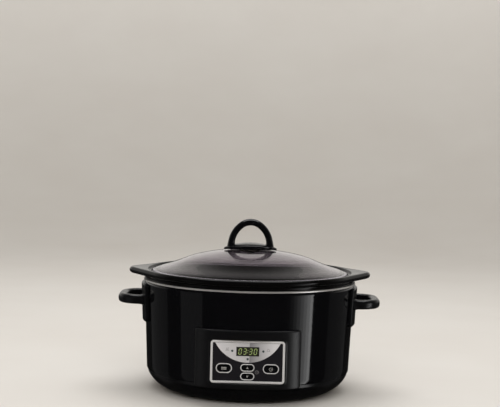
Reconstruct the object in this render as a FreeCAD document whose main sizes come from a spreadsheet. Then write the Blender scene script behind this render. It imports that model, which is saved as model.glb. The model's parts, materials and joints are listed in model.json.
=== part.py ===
import FreeCAD, Part
import math
import os
import Sketcher

# Slow cooker in millimetres. The floor is z = 0, the controls face -Y and the side handles lie along X.

doc = FreeCAD.newDocument("slow_cooker")
sheet = doc.addObject("Spreadsheet::Sheet", "Sizes")

SIZES = [
    # Feet and base tray
    ("foot_height", "4"),
    ("foot_radius", "10"),
    ("foot_inset", "20"),
    ("peg_radius", "2.5"),
    ("peg_rise", "1.5"),
    ("tray_height", "25"),
    ("tray_band", "4"),
    ("tray_step", "1.5"),
    ("tray_lean", "0.5"),
    ("tray_cut_in", "23.5"),
    ("tray_round", "40"),
    ("tray_wall", "2.5"),
    ("vent_width", "4"),
    ("vent_inner", "32"),
    ("vent_length", "22"),
    ("vent_count", "16"),
    # Steel housing and its bright ring
    ("shell_height", "125"),
    ("shell_top_radius", "149"),
    ("shell_taper", "5.5"),
    ("shell_flange", "8"),
    ("sheet_steel", "1"),
    ("trim_cap", "2"),
    ("trim_drop", "2"),
    ("trim_wall", "1.2"),
    ("trim_edge", "0.9"),
    # Stoneware pot
    ("pot_floor_up", "11"),
    ("pot_space", "21"),
    ("pot_taper", "11"),
    ("pot_wall", "8"),
    ("pot_floor", "9"),
    ("pot_round", "20"),
    ("pot_side_gap", "3.5"),
    ("pot_floor_gap", "1.5"),
    ("shoulder_height", "5"),
    ("shoulder_lean", "1.5"),
    ("lip_overhang", "3"),
    ("lip_height", "10"),
    ("lip_slope", "0.23"),
    ("lip_edge", "3.6"),
    ("lug_length", "19.5"),
    ("lug_tip_radius", "28"),
    ("ledge_depth", "7"),
    ("ledge_edge", "2"),
    ("step_height", "2.5"),
    ("step_width", "4"),
    # Glass lid
    ("lid_overlap", "10"),
    ("lid_gap", "2"),
    ("lid_edge", "4"),
    ("lid_edge_round", "1.6"),
    ("lid_seat", "5.5"),
    ("dome_rise", "31"),
    ("glass", "4.5"),
    ("lid_hole", "4.2"),
    # Lid handle and its fixing
    ("boat_length", "76"),
    ("boat_width", "44"),
    ("boat_rise", "9"),
    ("boat_dome", "110"),
    ("boat_tip", "4"),
    ("boat_edge", "1.2"),
    ("loop_span", "54.6"),
    ("loop_spring", "6"),
    ("loop_rise", "32.3"),
    ("loop_crown", "22"),
    ("loop_thick", "9.5"),
    ("loop_deep", "14"),
    ("gasket", "1.2"),
    ("gasket_radius", "15"),
    ("washer_radius", "11"),
    ("washer", "1.2"),
    ("lid_screw_radius", "2.4"),
    ("lid_screw_grip", "5.5"),
    # Side handles
    ("plate_drop", "4"),
    ("plate_height", "53"),
    ("plate_wall", "4.5"),
    ("plate_margin", "4.6"),
    ("plate_edge", "1.8"),
    ("plate_corner", "7"),
    ("grip_length", "36"),
    ("grip_width", "90"),
    ("grip_bar", "12"),
    ("grip_arm", "12"),
    ("grip_rise", "31"),
    ("grip_thick", "13"),
    ("grip_corner", "22"),
    ("grip_edge", "5.2"),
    ("grip_screw_depth", "16"),
    # Control boss
    ("boss_wing", "18.4"),
    ("boss_overhang", "3"),
    ("boss_crest", "13.5"),
    ("boss_bulge", "4.55"),
    ("boss_face_radius", "220"),
    ("boss_edge", "6"),
    ("boss_brow", "2"),
    ("boss_overlap", "5"),
    ("boss_screw_depth", "5"),
    # Control panel
    ("panel_width", "98.6"),
    ("panel_height", "57"),
    ("panel_up", "7.5"),
    ("panel_corner", "4.5"),
    ("panel_wall", "2.6"),
    ("panel_ledge", "3.2"),
    ("panel_ledge_depth", "3"),
    ("fascia_plate", "1"),
    ("field_rise", "0.8"),
    ("frame_line", "3.2"),
    ("frame_rise", "1.3"),
    ("crescent_inset", "6.3"),
    ("crescent_depth", "26"),
    ("crescent_sheet", "0.4"),
    ("display_width", "30"),
    ("display_height", "12"),
    ("display_up", "42.4"),
    ("module_border", "2"),
    ("module_depth", "8.5"),
    ("indicator_radius", "1.4"),
    ("indicator_rise", "0.3"),
    ("indicator_x", "20.5"),
    ("indicator_up", "43"),
    ("indicator_low_up", "32.4"),
    # Buttons and switches
    ("big_button_width", "18.3"),
    ("big_button_height", "9.8"),
    ("small_button_width", "15.5"),
    ("small_button_height", "7"),
    ("side_button_inset", "18.3"),
    ("side_button_up", "19.9"),
    ("up_button_up", "20.9"),
    ("down_button_up", "9.4"),
    ("button_rise", "1.2"),
    ("button_flange", "1.2"),
    ("button_travel", "1"),
    ("stem_radius", "2.2"),
    ("ring_line", "1.3"),
    ("ring_rise", "0.6"),
    ("switch_width", "6"),
    ("switch_height", "3.5"),
    ("plunger_radius", "1.6"),
    ("plunger_rise", "0.4"),
    # Control board
    ("board_margin", "4.3"),
    ("board_height", "48"),
    ("board_sheet", "1.6"),
    ("board_inset", "5"),
    ("post_radius", "3"),
    ("board_screw_depth", "5"),
    # Heating parts
    ("heater_up", "14"),
    ("heater_height", "40"),
    ("heater_thick", "2"),
    ("clamp_height", "12"),
    ("clamp_strip", "0.8"),
    ("clamp_ear", "10"),
    ("clamp_ear_wall", "2"),
    ("clamp_slot", "4"),
    ("clamp_screw_radius", "1.5"),
    ("fuse_radius", "2.5"),
    ("fuse_length", "18"),
    ("fuse_up", "70"),
    ("clip_width", "8"),
    ("clip_wall", "1.2"),
    ("sensor_radius", "8"),
    ("sensor_height", "5"),
    ("sensor_back", "28"),
    ("shield_inset", "16.5"),
    ("shield_rim", "4"),
    ("shield_sheet", "0.8"),
    ("shield_gap", "8"),
    # Studs and base screws
    ("stud_inset", "50.5"),
    ("stud_radius", "5"),
    ("stud_neck", "3.5"),
    ("base_screw_radius", "2"),
    ("base_screw_depth", "9"),
    ("base_head_radius", "4"),
    ("base_head_height", "2"),
    # Power board
    ("power_length", "70"),
    ("power_width", "46"),
    ("power_margin", "45"),
    ("power_post", "5"),
    ("power_post_radius", "3"),
    ("power_inset", "5"),
    ("power_screw_depth", "4"),
    ("relay_length", "19"),
    ("relay_width", "15"),
    ("relay_height", "12"),
    ("relay_x", "-17"),
    ("capacitor_length", "18"),
    ("capacitor_width", "8"),
    ("capacitor_height", "11"),
    ("terminal_length", "22"),
    ("terminal_width", "10"),
    ("terminal_height", "10"),
    ("terminal_x", "14"),
    ("component_gap", "5"),
    # Cord gland
    ("gland_rise", "16"),
    ("gland_bore", "3.6"),
    ("gland_neck", "5.9"),
    ("gland_flange", "9"),
    ("gland_flange_wall", "3.5"),
    ("gland_collar", "8"),
    ("gland_collar_wall", "3"),
    ("gland_tail", "7"),
    # Screws of the small sizes and clearances
    ("screw_radius", "1.5"),
    ("head_radius", "3"),
    ("head_height", "2.2"),
    ("fit_gap", "0.15"),
    ("running_gap", "0.3"),
]

for row, (alias, number) in enumerate(SIZES, start=1):
    sheet.set("A%d" % row, alias)
    sheet.set("B%d" % row, number)
    sheet.setAlias("B%d" % row, alias)
doc.recompute()


class Size:
    """A length with its value and the formula that ties it to the sheet."""

    def __init__(self, value, formula):
        self.value = float(value)
        self.formula = formula

    def __add__(self, other):
        other = as_size(other)
        return Size(self.value + other.value, "(%s + %s)" % (self.formula, other.formula))

    def __sub__(self, other):
        other = as_size(other)
        return Size(self.value - other.value, "(%s - %s)" % (self.formula, other.formula))

    def __mul__(self, other):
        other = as_size(other)
        return Size(self.value * other.value, "(%s * %s)" % (self.formula, other.formula))

    def __truediv__(self, other):
        other = as_size(other)
        return Size(self.value / other.value, "(%s / %s)" % (self.formula, other.formula))

    def __neg__(self):
        return Size(-self.value, "(0 - %s)" % self.formula)


def as_size(number):
    """Give a plain number the form of a Size."""
    if isinstance(number, Size):
        return number
    return Size(number, "(%r)" % float(number))


def root(square):
    """Square root of a Size."""
    return Size(math.sqrt(square.value), "sqrt(%s)" % square.formula)


def arcsine(ratio):
    """Angle in degrees whose sine is the ratio."""
    return Size(math.degrees(math.asin(ratio.value)), "asin(%s)" % ratio.formula)


def leg(hypotenuse, other):
    """Third side of a right triangle."""
    return root(hypotenuse * hypotenuse - other * other)


class Sheet:
    """Named sizes of the sheet, as attributes."""


size = Sheet()
for alias, number in SIZES:
    setattr(size, alias, Size(sheet.get(alias), "Sizes.%s" % alias))
ZERO = Size(0, "0")


def bind(feature, field, length):
    """Tie one property of a feature to the sheet."""
    feature.setExpression(field, length.formula)


# Sketch helpers

def new_body(label):
    """Start a body whose label names its file."""
    body = doc.addObject("PartDesign::Body", label)
    body.Label = label
    return body


def sketch_on(body, plane, offset=ZERO):
    """Add a sketch on one of the body's own planes, moved along the plane's normal."""
    sketch = body.newObject("Sketcher::SketchObject", body.Label + "_sketch")
    support = [feature for feature in body.Origin.OriginFeatures if feature.Role == plane + "_Plane"][0]
    sketch.AttachmentSupport = [(support, "")]
    sketch.MapMode = "FlatFace"
    bind(sketch, "AttachmentOffset.Base.z", offset)
    return sketch


def tie_point(sketch, geometry, point, x, y):
    """Tie one point of a sketch to the sheet, measured from the sketch's origin."""
    for axis, kind, length in ((-2, "DistanceX", x), (-1, "DistanceY", y)):
        if length.formula == "0":
            sketch.addConstraint(Sketcher.Constraint("PointOnObject", geometry, point, axis))
        else:
            index = sketch.addConstraint(
                Sketcher.Constraint(kind, -1, 1, geometry, point, length.value))
            bind(sketch, "Constraints[%d]" % index, length)


def arc_between(start, end, bend):
    """Arc of radius |bend| from start to end that turns left for a positive bend, right for a negative."""
    chord = end - start
    half = chord.Length / 2
    left = FreeCAD.Vector(-chord.y, chord.x, 0).normalize()
    lift = math.sqrt(bend * bend - half * half)
    centre = (start + end) / 2 + left * math.copysign(lift, bend)
    circle = Part.Circle(centre, FreeCAD.Vector(0, 0, 1), abs(bend))
    first, last = (start, end) if bend > 0 else (end, start)
    return Part.ArcOfCircle(circle, math.atan2(first.y - centre.y, first.x - centre.x),
                            math.atan2(last.y - centre.y, last.x - centre.x))


def draw_outline(sketch, corners, closed=True):
    """Draw lines and arcs through corners (x, y) or (x, y, bend), the bend being that of the next stretch."""
    points = [FreeCAD.Vector(corner[0].value, corner[1].value, 0) for corner in corners]
    stretches = len(corners) if closed else len(corners) - 1
    ends = []
    for index in range(stretches):
        start = points[index]
        end = points[(index + 1) % len(points)]
        if len(corners[index]) == 3:
            bend = corners[index][2]
            geometry = sketch.addGeometry(arc_between(start, end, bend.value), False)
            order = (1, 2) if bend.value > 0 else (2, 1)
            radius = bend if bend.value > 0 else -bend
            tie = sketch.addConstraint(Sketcher.Constraint("Radius", geometry, radius.value))
            bind(sketch, "Constraints[%d]" % tie, radius)
        else:
            geometry = sketch.addGeometry(Part.LineSegment(start, end), False)
            order = (1, 2)
        ends.append((geometry, order[0], order[1]))
    for index, (geometry, first, last) in enumerate(ends):
        tie_point(sketch, geometry, first, corners[index][0], corners[index][1])
        if closed or index + 1 < stretches:
            follower = ends[(index + 1) % len(ends)]
            sketch.addConstraint(Sketcher.Constraint("Coincident", geometry, last, follower[0], follower[1]))
        else:
            tie_point(sketch, geometry, last, corners[-1][0], corners[-1][1])


def draw_circle(sketch, x, y, radius):
    """Draw a circle whose centre and radius are tied to the sheet."""
    centre = FreeCAD.Vector(x.value, y.value, 0)
    geometry = sketch.addGeometry(Part.Circle(centre, FreeCAD.Vector(0, 0, 1), radius.value), False)
    tie_point(sketch, geometry, 3, x, y)
    tie = sketch.addConstraint(Sketcher.Constraint("Radius", geometry, radius.value))
    bind(sketch, "Constraints[%d]" % tie, radius)


def draw_rectangle(sketch, x, y, width, height, corner=None):
    """Draw a rectangle about the centre (x, y), with rounded corners where a corner radius is given."""
    left = x - width / 2
    right = x + width / 2
    low = y - height / 2
    high = y + height / 2
    if corner is None:
        draw_outline(sketch, [(left, low), (right, low), (right, high), (left, high)])
        return
    draw_outline(sketch, [
        (left + corner, low), (right - corner, low, corner),
        (right, low + corner), (right, high - corner, corner),
        (right - corner, high), (left + corner, high, corner),
        (left, high - corner), (left, low + corner, corner)])


def draw_pill(sketch, x, y, width, height):
    """Draw a flat-sided pill about the centre (x, y)."""
    radius = height / 2
    reach = width / 2 - radius
    up = FreeCAD.Vector(0, 0, 1)
    quarter = math.pi / 2
    right_centre = FreeCAD.Vector(x.value + reach.value, y.value, 0)
    left_centre = FreeCAD.Vector(x.value - reach.value, y.value, 0)
    lift = FreeCAD.Vector(0, radius.value, 0)
    right = sketch.addGeometry(
        Part.ArcOfCircle(Part.Circle(right_centre, up, radius.value), -quarter, quarter), False)
    top = sketch.addGeometry(Part.LineSegment(right_centre + lift, left_centre + lift), False)
    left = sketch.addGeometry(
        Part.ArcOfCircle(Part.Circle(left_centre, up, radius.value), quarter, 3 * quarter), False)
    bottom = sketch.addGeometry(Part.LineSegment(left_centre - lift, right_centre - lift), False)
    loop = [right, top, left, bottom]
    for index in range(4):
        sketch.addConstraint(Sketcher.Constraint("Tangent", loop[index], 2, loop[(index + 1) % 4], 1))
    tie_point(sketch, right, 3, x + reach, y)
    tie_point(sketch, left, 3, x - reach, y)
    tie = sketch.addConstraint(Sketcher.Constraint("Radius", right, radius.value))
    bind(sketch, "Constraints[%d]" % tie, radius)


# Feature helpers

def pad(body, sketch, length, midplane=False, backward=False):
    """Extrude a sketch along its normal, to both sides of it, or backward."""
    feature = body.newObject("PartDesign::Pad", body.Label + "_pad")
    feature.Profile = sketch
    feature.Midplane = midplane
    feature.Reversed = backward
    bind(feature, "Length", length)
    doc.recompute()
    return feature


def check_cut(feature):
    """Stop where a cut has taken nothing away."""
    doc.recompute()
    if feature.BaseFeature.Shape.Volume - feature.Shape.Volume < 1e-6:
        raise ValueError(feature.Label + " cuts nothing")


def pocket(body, sketch, length=None, midplane=False, backward=False):
    """Cut a sketch against its normal, to both sides, or along the normal; right through without a length."""
    feature = body.newObject("PartDesign::Pocket", body.Label + "_pocket")
    feature.Profile = sketch
    feature.Midplane = midplane
    feature.Reversed = backward
    if length is None:
        feature.Type = "ThroughAll"
    else:
        bind(feature, "Length", length)
    check_cut(feature)
    return feature


def revolve(body, sketch, angle=None):
    """Turn a sketch about its upright axis, all round or evenly to both sides by an angle."""
    feature = body.newObject("PartDesign::Revolution", body.Label + "_turn")
    feature.Profile = sketch
    feature.ReferenceAxis = (sketch, ["V_Axis"])
    if angle is not None:
        feature.Midplane = True
        bind(feature, "Angle", angle)
    doc.recompute()
    return feature


def groove(body, sketch):
    """Cut a sketch turned about its upright axis."""
    feature = body.newObject("PartDesign::Groove", body.Label + "_groove")
    feature.Profile = sketch
    feature.ReferenceAxis = (sketch, ["V_Axis"])
    check_cut(feature)
    return feature


def fillet(body, radius, test):
    """Round the edges of the body's tip that pass the test."""
    base = body.Tip
    names = ["Edge%d" % (index + 1) for index, edge in enumerate(base.Shape.Edges) if test(edge)]
    feature = body.newObject("PartDesign::Fillet", body.Label + "_fillet")
    feature.Base = (base, names)
    bind(feature, "Radius", radius)
    doc.recompute()
    return feature


def at(edge, x=None, y=None, z=None):
    """Tell whether all of an edge lies at the given coordinates."""
    box = edge.BoundBox
    wanted = ((x, box.XMin, box.XMax), (y, box.YMin, box.YMax), (z, box.ZMin, box.ZMax))
    return all(place is None or (abs(low - place.value) < 1e-3 and abs(high - place.value) < 1e-3)
               for place, low, high in wanted)


def turned(label, corners, plane="XZ", offset=ZERO):
    """Make a body turned from one outline about the plane's upright axis."""
    body = new_body(label)
    sketch = sketch_on(body, plane, offset)
    draw_outline(sketch, corners)
    revolve(body, sketch)
    return body


# Primitive helpers

WAYS = {"+x": (1, 0, 0), "-x": (-1, 0, 0), "+y": (0, 1, 0), "-y": (0, -1, 0), "+z": (0, 0, 1), "-z": (0, 0, -1)}


def put(feature, base):
    """Tie a feature's place to the sheet."""
    for axis, length in zip("xyz", base):
        bind(feature, "Placement.Base." + axis, length)


def along(base, way, distance):
    """Move a place along an axis."""
    step = WAYS[way]
    return [place + distance * part if part else place for place, part in zip(base, step)]


def rod(label, base, way, radius, length):
    """Cylinder from a base point along one axis."""
    feature = doc.addObject("Part::Cylinder", label)
    feature.Label = label
    feature.Placement.Rotation = FreeCAD.Rotation(FreeCAD.Vector(0, 0, 1), FreeCAD.Vector(*WAYS[way]))
    bind(feature, "Radius", radius)
    bind(feature, "Height", length)
    put(feature, base)
    return feature


def block(label, low, lengths):
    """Box from its low corner."""
    feature = doc.addObject("Part::Box", label)
    feature.Label = label
    for field, length in zip(("Length", "Width", "Height"), lengths):
        bind(feature, field, length)
    put(feature, low)
    return feature


def fuse(label, first, second):
    """Join two solids that overlap or touch."""
    feature = doc.addObject("Part::Fuse", label)
    feature.Label = label
    feature.Base = first
    feature.Tool = second
    doc.recompute()
    return feature


def cut(label, first, second):
    """Take the second solid away from the first."""
    feature = doc.addObject("Part::Cut", label)
    feature.Label = label
    feature.Base = first
    feature.Tool = second
    doc.recompute()
    return feature


def group(label, members):
    """Hold separate solids in one node."""
    feature = doc.addObject("Part::Compound", label)
    feature.Label = label
    feature.Links = members
    doc.recompute()
    return feature


def screw(label, seat, way, radius, length, head_radius, head_height):
    """Screw whose head sits on the seat, with its shank along the way."""
    shank = rod(label + "_shank", seat, way, radius, length)
    head = rod(label + "_head", along(seat, way, -head_height), way, head_radius, head_height)
    return fuse(label, shank, head)


nodes = []

# Levels and leans shared by the pieces

tray_top = size.foot_height + size.tray_height
shell_top = tray_top + size.shell_height
shell_foot_radius = size.shell_top_radius - size.shell_taper
shell_lean = size.shell_taper / size.shell_height
seat_top = shell_top + size.trim_cap
pot_bottom = tray_top + size.pot_floor_up
pot_mouth_radius = size.shell_top_radius - size.pot_space
pot_foot_radius = pot_mouth_radius - size.pot_taper
well_floor = pot_bottom - size.pot_floor_gap
well_under = well_floor - size.sheet_steel
tray_floor = size.foot_height + size.tray_wall
lip_radius = size.shell_top_radius + size.lip_overhang
lug_reach = lip_radius + size.lug_length
lid_radius = pot_mouth_radius + size.lid_overlap
lip_bottom = seat_top + size.shoulder_height
lip_top = lip_bottom + size.lip_height
ledge_top = lip_top - size.ledge_depth
well_mouth = pot_mouth_radius + size.pot_side_gap
well_foot = pot_foot_radius + size.pot_side_gap
well_lean = (well_mouth - well_foot) / (shell_top - well_floor)


def shell_radius(height):
    """Outside radius of the steel housing at a height."""
    return shell_foot_radius + (height - tray_top) * shell_lean


def well_radius(height):
    """Outside radius of the heating well at a height."""
    return well_foot + (height - well_floor) * well_lean + size.sheet_steel


# Base tray: a band below the steel housing, a rounded cut-in wall and a vented floor

band_radius = shell_foot_radius - size.tray_step
band_foot = band_radius - size.tray_lean
band_low = tray_top - size.tray_band
tray_floor_radius = band_foot - size.tray_cut_in
chord_x = band_foot - tray_floor_radius
chord_z = band_low - size.foot_height
chord = root(chord_x * chord_x + chord_z * chord_z)
chord_rise = leg(size.tray_round, chord / 2)
tray_centre_x = (band_foot + tray_floor_radius) / 2 - chord_rise * chord_z / chord
tray_centre_z = (band_low + size.foot_height) / 2 + chord_rise * chord_x / chord
inner_round = size.tray_round - size.tray_wall
inner_floor_radius = tray_centre_x + leg(inner_round, tray_floor - tray_centre_z)
inner_band = tray_centre_x + leg(inner_round, band_low - tray_centre_z)

base_tray = turned("base_tray", [
    (ZERO, size.foot_height),
    (tray_floor_radius, size.foot_height, size.tray_round),
    (band_foot, band_low),
    (band_radius, tray_top),
    (band_radius - size.tray_wall, tray_top),
    (inner_band, band_low, -inner_round),
    (inner_floor_radius, tray_floor),
    (ZERO, tray_floor)])
vent_sketch = sketch_on(base_tray, "XY", tray_floor)
draw_pill(vent_sketch, size.vent_inner + size.vent_length / 2, ZERO, size.vent_length, size.vent_width)
vent = pocket(base_tray, vent_sketch, size.tray_wall)
vents = base_tray.newObject("PartDesign::PolarPattern", "base_tray_vents")
vents.Originals = [vent]
vents.Axis = (vent_sketch, ["N_Axis"])
vents.Angle = 360
bind(vents, "Occurrences", size.vent_count)
base_tray.Tip = vents
doc.recompute()

# Places of the feet, the studs and the power board's posts on the tray's floor

diagonal = (tray_floor_radius - size.foot_inset) / math.sqrt(2)
foot_places = {
    "foot_front_left": (-diagonal, -diagonal),
    "foot_front_right": (diagonal, -diagonal),
    "foot_back_left": (-diagonal, diagonal),
    "foot_back_right": (diagonal, diagonal)}
stud_circle = well_foot - size.stud_inset
stud_side = stud_circle * (math.sqrt(3) / 2)
stud_places = [
    (ZERO, -stud_circle),
    (stud_side, stud_circle / 2),
    (-stud_side, stud_circle / 2)]
power_back = tray_floor_radius - size.power_margin
power_x = size.power_length / 2 - size.power_inset
power_y = size.power_width / 2 - size.power_inset
power_places = [
    (-power_x, power_back - power_y),
    (power_x, power_back - power_y),
    (-power_x, power_back + power_y),
    (power_x, power_back + power_y)]
power_low = tray_floor + size.power_post

post_sketch = sketch_on(base_tray, "XY", tray_floor)
for x, y in power_places:
    draw_circle(post_sketch, x, y, size.power_post_radius)
pad(base_tray, post_sketch, size.power_post)
hole_sketch = sketch_on(base_tray, "XY", tray_floor)
for x, y in foot_places.values():
    draw_circle(hole_sketch, x, y, size.peg_radius + size.fit_gap)
for x, y in stud_places:
    draw_circle(hole_sketch, x, y, size.base_screw_radius + size.fit_gap)
pocket(base_tray, hole_sketch, size.tray_wall)
bore_sketch = sketch_on(base_tray, "XY", power_low)
for x, y in power_places:
    draw_circle(bore_sketch, x, y, size.screw_radius + size.fit_gap)
pocket(base_tray, bore_sketch, size.power_screw_depth + size.fit_gap)
nodes.append(base_tray)

# Rubber feet with a peg through the tray's floor

for label, (x, y) in foot_places.items():
    foot = turned(label, [
        (ZERO, ZERO),
        (size.foot_radius - size.foot_height / 4, ZERO),
        (size.foot_radius, size.foot_height),
        (size.peg_radius, size.foot_height),
        (size.peg_radius, tray_floor + size.peg_rise),
        (ZERO, tray_floor + size.peg_rise)])
    put(foot, (x, y, ZERO))
    nodes.append(foot)

# Steel housing: a leaning wall with a turned-in foot

outer_housing = turned("outer_housing", [
    (shell_foot_radius - size.shell_flange, tray_top),
    (shell_foot_radius, tray_top),
    (size.shell_top_radius, shell_top),
    (size.shell_top_radius - size.sheet_steel, shell_top),
    (shell_radius(tray_top + size.sheet_steel) - size.sheet_steel, tray_top + size.sheet_steel),
    (shell_foot_radius - size.shell_flange, tray_top + size.sheet_steel)])

# Places of the panel, the handles' screws and the boss's screws

boss_bottom = tray_top - size.boss_overhang
panel_bottom = boss_bottom + size.panel_up
panel_middle = panel_bottom + size.panel_height / 2
boss_height = size.panel_up + size.panel_height + size.boss_crest
tunnel_width = size.panel_width + (size.fit_gap + size.panel_wall) * 2
tunnel_height = size.panel_height + (size.fit_gap + size.panel_wall) * 2
grip_middle = shell_top - size.plate_drop - size.plate_height + size.grip_rise
grip_screw_y = size.grip_width / 2 - size.grip_arm / 2
boss_screw_x = (tunnel_width + size.boss_wing) / 2
boss_screw_places = [
    (-boss_screw_x, boss_bottom + boss_height / 4),
    (boss_screw_x, boss_bottom + boss_height / 4),
    (-boss_screw_x, boss_bottom + boss_height * 3 / 4),
    (boss_screw_x, boss_bottom + boss_height * 3 / 4)]
screw_hole = size.screw_radius + size.fit_gap

window_sketch = sketch_on(outer_housing, "XZ")
draw_rectangle(window_sketch, ZERO, panel_middle,
               tunnel_width + size.fit_gap * 2, tunnel_height + size.fit_gap * 2)
for x, z in boss_screw_places:
    draw_circle(window_sketch, x, z, screw_hole)
pocket(outer_housing, window_sketch, backward=True)
grip_hole_sketch = sketch_on(outer_housing, "YZ")
for y in (-grip_screw_y, grip_screw_y):
    draw_circle(grip_hole_sketch, y, grip_middle, screw_hole)
pocket(outer_housing, grip_hole_sketch, midplane=True)
gland_up = tray_top + size.gland_rise
gland_hole_sketch = sketch_on(outer_housing, "XZ")
draw_circle(gland_hole_sketch, ZERO, gland_up, size.gland_neck + size.fit_gap)
pocket(outer_housing, gland_hole_sketch)
nodes.append(outer_housing)

# Bright ring over the housing's top edge

trim_inside = size.shell_top_radius + size.fit_gap
trim_outside = trim_inside + size.trim_wall
trim_ring = turned("trim_ring", [
    (well_mouth + size.sheet_steel, shell_top),
    (trim_inside, shell_top),
    (trim_inside, shell_top - size.trim_drop),
    (trim_outside, shell_top - size.trim_drop),
    (trim_outside, seat_top),
    (well_mouth + size.sheet_steel, seat_top)])
fillet(trim_ring, size.trim_edge, lambda edge: at(edge, z=seat_top) and edge.BoundBox.XMax > trim_inside.value)
nodes.append(trim_ring)

# Heating well with a flange on the housing's top edge

flange_low = shell_top - size.sheet_steel
heating_well = turned("heating_well", [
    (ZERO, well_under),
    (well_radius(well_under), well_under),
    (well_radius(flange_low), flange_low),
    (size.shell_top_radius - size.sheet_steel - size.running_gap, flange_low),
    (size.shell_top_radius - size.sheet_steel - size.running_gap, shell_top),
    (well_mouth, shell_top),
    (well_foot, well_floor),
    (ZERO, well_floor)])
well_round = size.pot_round - size.pot_side_gap
fillet(heating_well, well_round, lambda edge: at(edge, z=well_floor) and edge.BoundBox.XMax > 1)
fillet(heating_well, well_round + size.sheet_steel,
       lambda edge: at(edge, z=well_under) and edge.BoundBox.XMax > 1)
nodes.append(heating_well)

# Stoneware pot: a tapered bowl, a shoulder on the ring and a lip drawn out into two lugs

lug_cosine = (lip_radius - size.lug_tip_radius) / (lug_reach - size.lug_tip_radius)
lug_sine = root(as_size(1) - lug_cosine * lug_cosine)
lug_centre = lug_reach - size.lug_tip_radius
flank_x = lip_radius * lug_cosine
flank_y = lip_radius * lug_sine
tip_x = lug_centre + size.lug_tip_radius * lug_cosine
tip_y = size.lug_tip_radius * lug_sine
lip_reach = lug_reach + size.lip_edge
lug_lift = (lip_reach - lip_radius) * size.lip_slope
step_radius = lid_radius + size.lid_gap + size.step_width
pot_lean = size.pot_taper / (seat_top - pot_bottom)


def pot_inside(height):
    """Inside radius of the pot at a height."""
    return pot_foot_radius + (height - pot_bottom) * pot_lean - size.pot_wall


stoneware_pot = turned("stoneware_pot", [
    (ZERO, pot_bottom),
    (pot_foot_radius, pot_bottom),
    (pot_mouth_radius, seat_top),
    (size.shell_top_radius - size.shoulder_lean, seat_top),
    (size.shell_top_radius, lip_bottom),
    (ZERO, lip_bottom)])
lip_sketch = sketch_on(stoneware_pot, "XY", lip_bottom)
draw_outline(lip_sketch, [
    (flank_x, flank_y, lip_radius),
    (-flank_x, flank_y),
    (-tip_x, tip_y, size.lug_tip_radius),
    (-tip_x, -tip_y),
    (-flank_x, -flank_y, lip_radius),
    (flank_x, -flank_y),
    (tip_x, -tip_y, size.lug_tip_radius),
    (tip_x, tip_y)])
pad(stoneware_pot, lip_sketch, size.lip_height + lug_lift)
under_sketch = sketch_on(stoneware_pot, "XZ")
draw_outline(under_sketch, [
    (size.shell_top_radius, lip_bottom),
    (lip_reach, lip_bottom),
    (lip_reach, lip_bottom + (lip_reach - size.shell_top_radius) * size.lip_slope)])
groove(stoneware_pot, under_sketch)
dish_sketch = sketch_on(stoneware_pot, "XZ")
draw_outline(dish_sketch, [
    (ZERO, ledge_top + size.step_height),
    (step_radius, ledge_top + size.step_height),
    (step_radius, lip_top - (lip_radius - step_radius) * size.lip_slope),
    (lip_reach, lip_top + lug_lift),
    (lip_reach, lip_top + lug_lift * 2),
    (ZERO, lip_top + lug_lift * 2)])
groove(stoneware_pot, dish_sketch)


def on_lip_rim(edge):
    """Tell whether an edge runs along the lip's outer outline."""
    box = edge.BoundBox
    if box.ZMin < lip_bottom.value + 0.1:
        return False
    middle = edge.valueAt((edge.FirstParameter + edge.LastParameter) / 2)
    across = math.hypot(middle.x, middle.y)
    return across > lip_radius.value - 0.1 and box.ZMax - box.ZMin < size.lip_height.value / 2


fillet(stoneware_pot, size.lip_edge, on_lip_rim)
cavity_sketch = sketch_on(stoneware_pot, "XZ")
draw_outline(cavity_sketch, [
    (ZERO, pot_bottom + size.pot_floor),
    (pot_inside(pot_bottom + size.pot_floor), pot_bottom + size.pot_floor),
    (pot_inside(ledge_top), ledge_top),
    (lid_radius + size.lid_gap, ledge_top),
    (lid_radius + size.lid_gap, ledge_top + size.step_height),
    (ZERO, ledge_top + size.step_height)])
groove(stoneware_pot, cavity_sketch)
fillet(stoneware_pot, size.pot_round - size.pot_wall / 2,
       lambda edge: at(edge, z=pot_bottom + size.pot_floor) and edge.BoundBox.XMax > 1)
fillet(stoneware_pot, size.pot_round, lambda edge: at(edge, z=pot_bottom) and edge.BoundBox.XMax > 1)
fillet(stoneware_pot, size.ledge_edge,
       lambda edge: at(edge, z=ledge_top) and edge.BoundBox.XMax < lid_radius.value - size.lid_seat.value)
nodes.append(stoneware_pot)

# Glass lid: a shallow dome with a seat bead at its edge

dome_radius = (lid_radius * lid_radius + size.dome_rise * size.dome_rise) / (size.dome_rise * 2)
apex = ledge_top + size.lid_edge + size.dome_rise
dome_centre = apex - dome_radius
inner_dome = dome_radius - size.glass
bead_radius = lid_radius - size.lid_seat


def dome_height(radius, across):
    """Height of a sphere about the dome's centre at a distance from the axis."""
    return dome_centre + leg(radius, across)


lid_glass = turned("lid_glass", [
    (size.lid_hole, dome_height(inner_dome, size.lid_hole), -inner_dome),
    (bead_radius, dome_height(inner_dome, bead_radius)),
    (bead_radius, ledge_top),
    (lid_radius, ledge_top),
    (lid_radius, ledge_top + size.lid_edge, dome_radius),
    (size.lid_hole, dome_height(dome_radius, size.lid_hole))])
fillet(lid_glass, size.lid_edge_round,
       lambda edge: edge.BoundBox.XMax > lid_radius.value - 0.01 and edge.BoundBox.ZLength < 0.01)
nodes.append(lid_glass)

# Lid handle: a boat-shaped foot under a basket-arch loop

boat_half = size.boat_length / 2
boat_beam = size.boat_width / 2
boat_radius = (boat_half * boat_half + boat_beam * boat_beam) / size.boat_width
boat_low = dome_height(dome_radius, boat_half)
boat_top = apex + size.boat_rise
under_radius = dome_radius + size.gasket
crown_centre = boat_top - size.boat_dome

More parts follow.
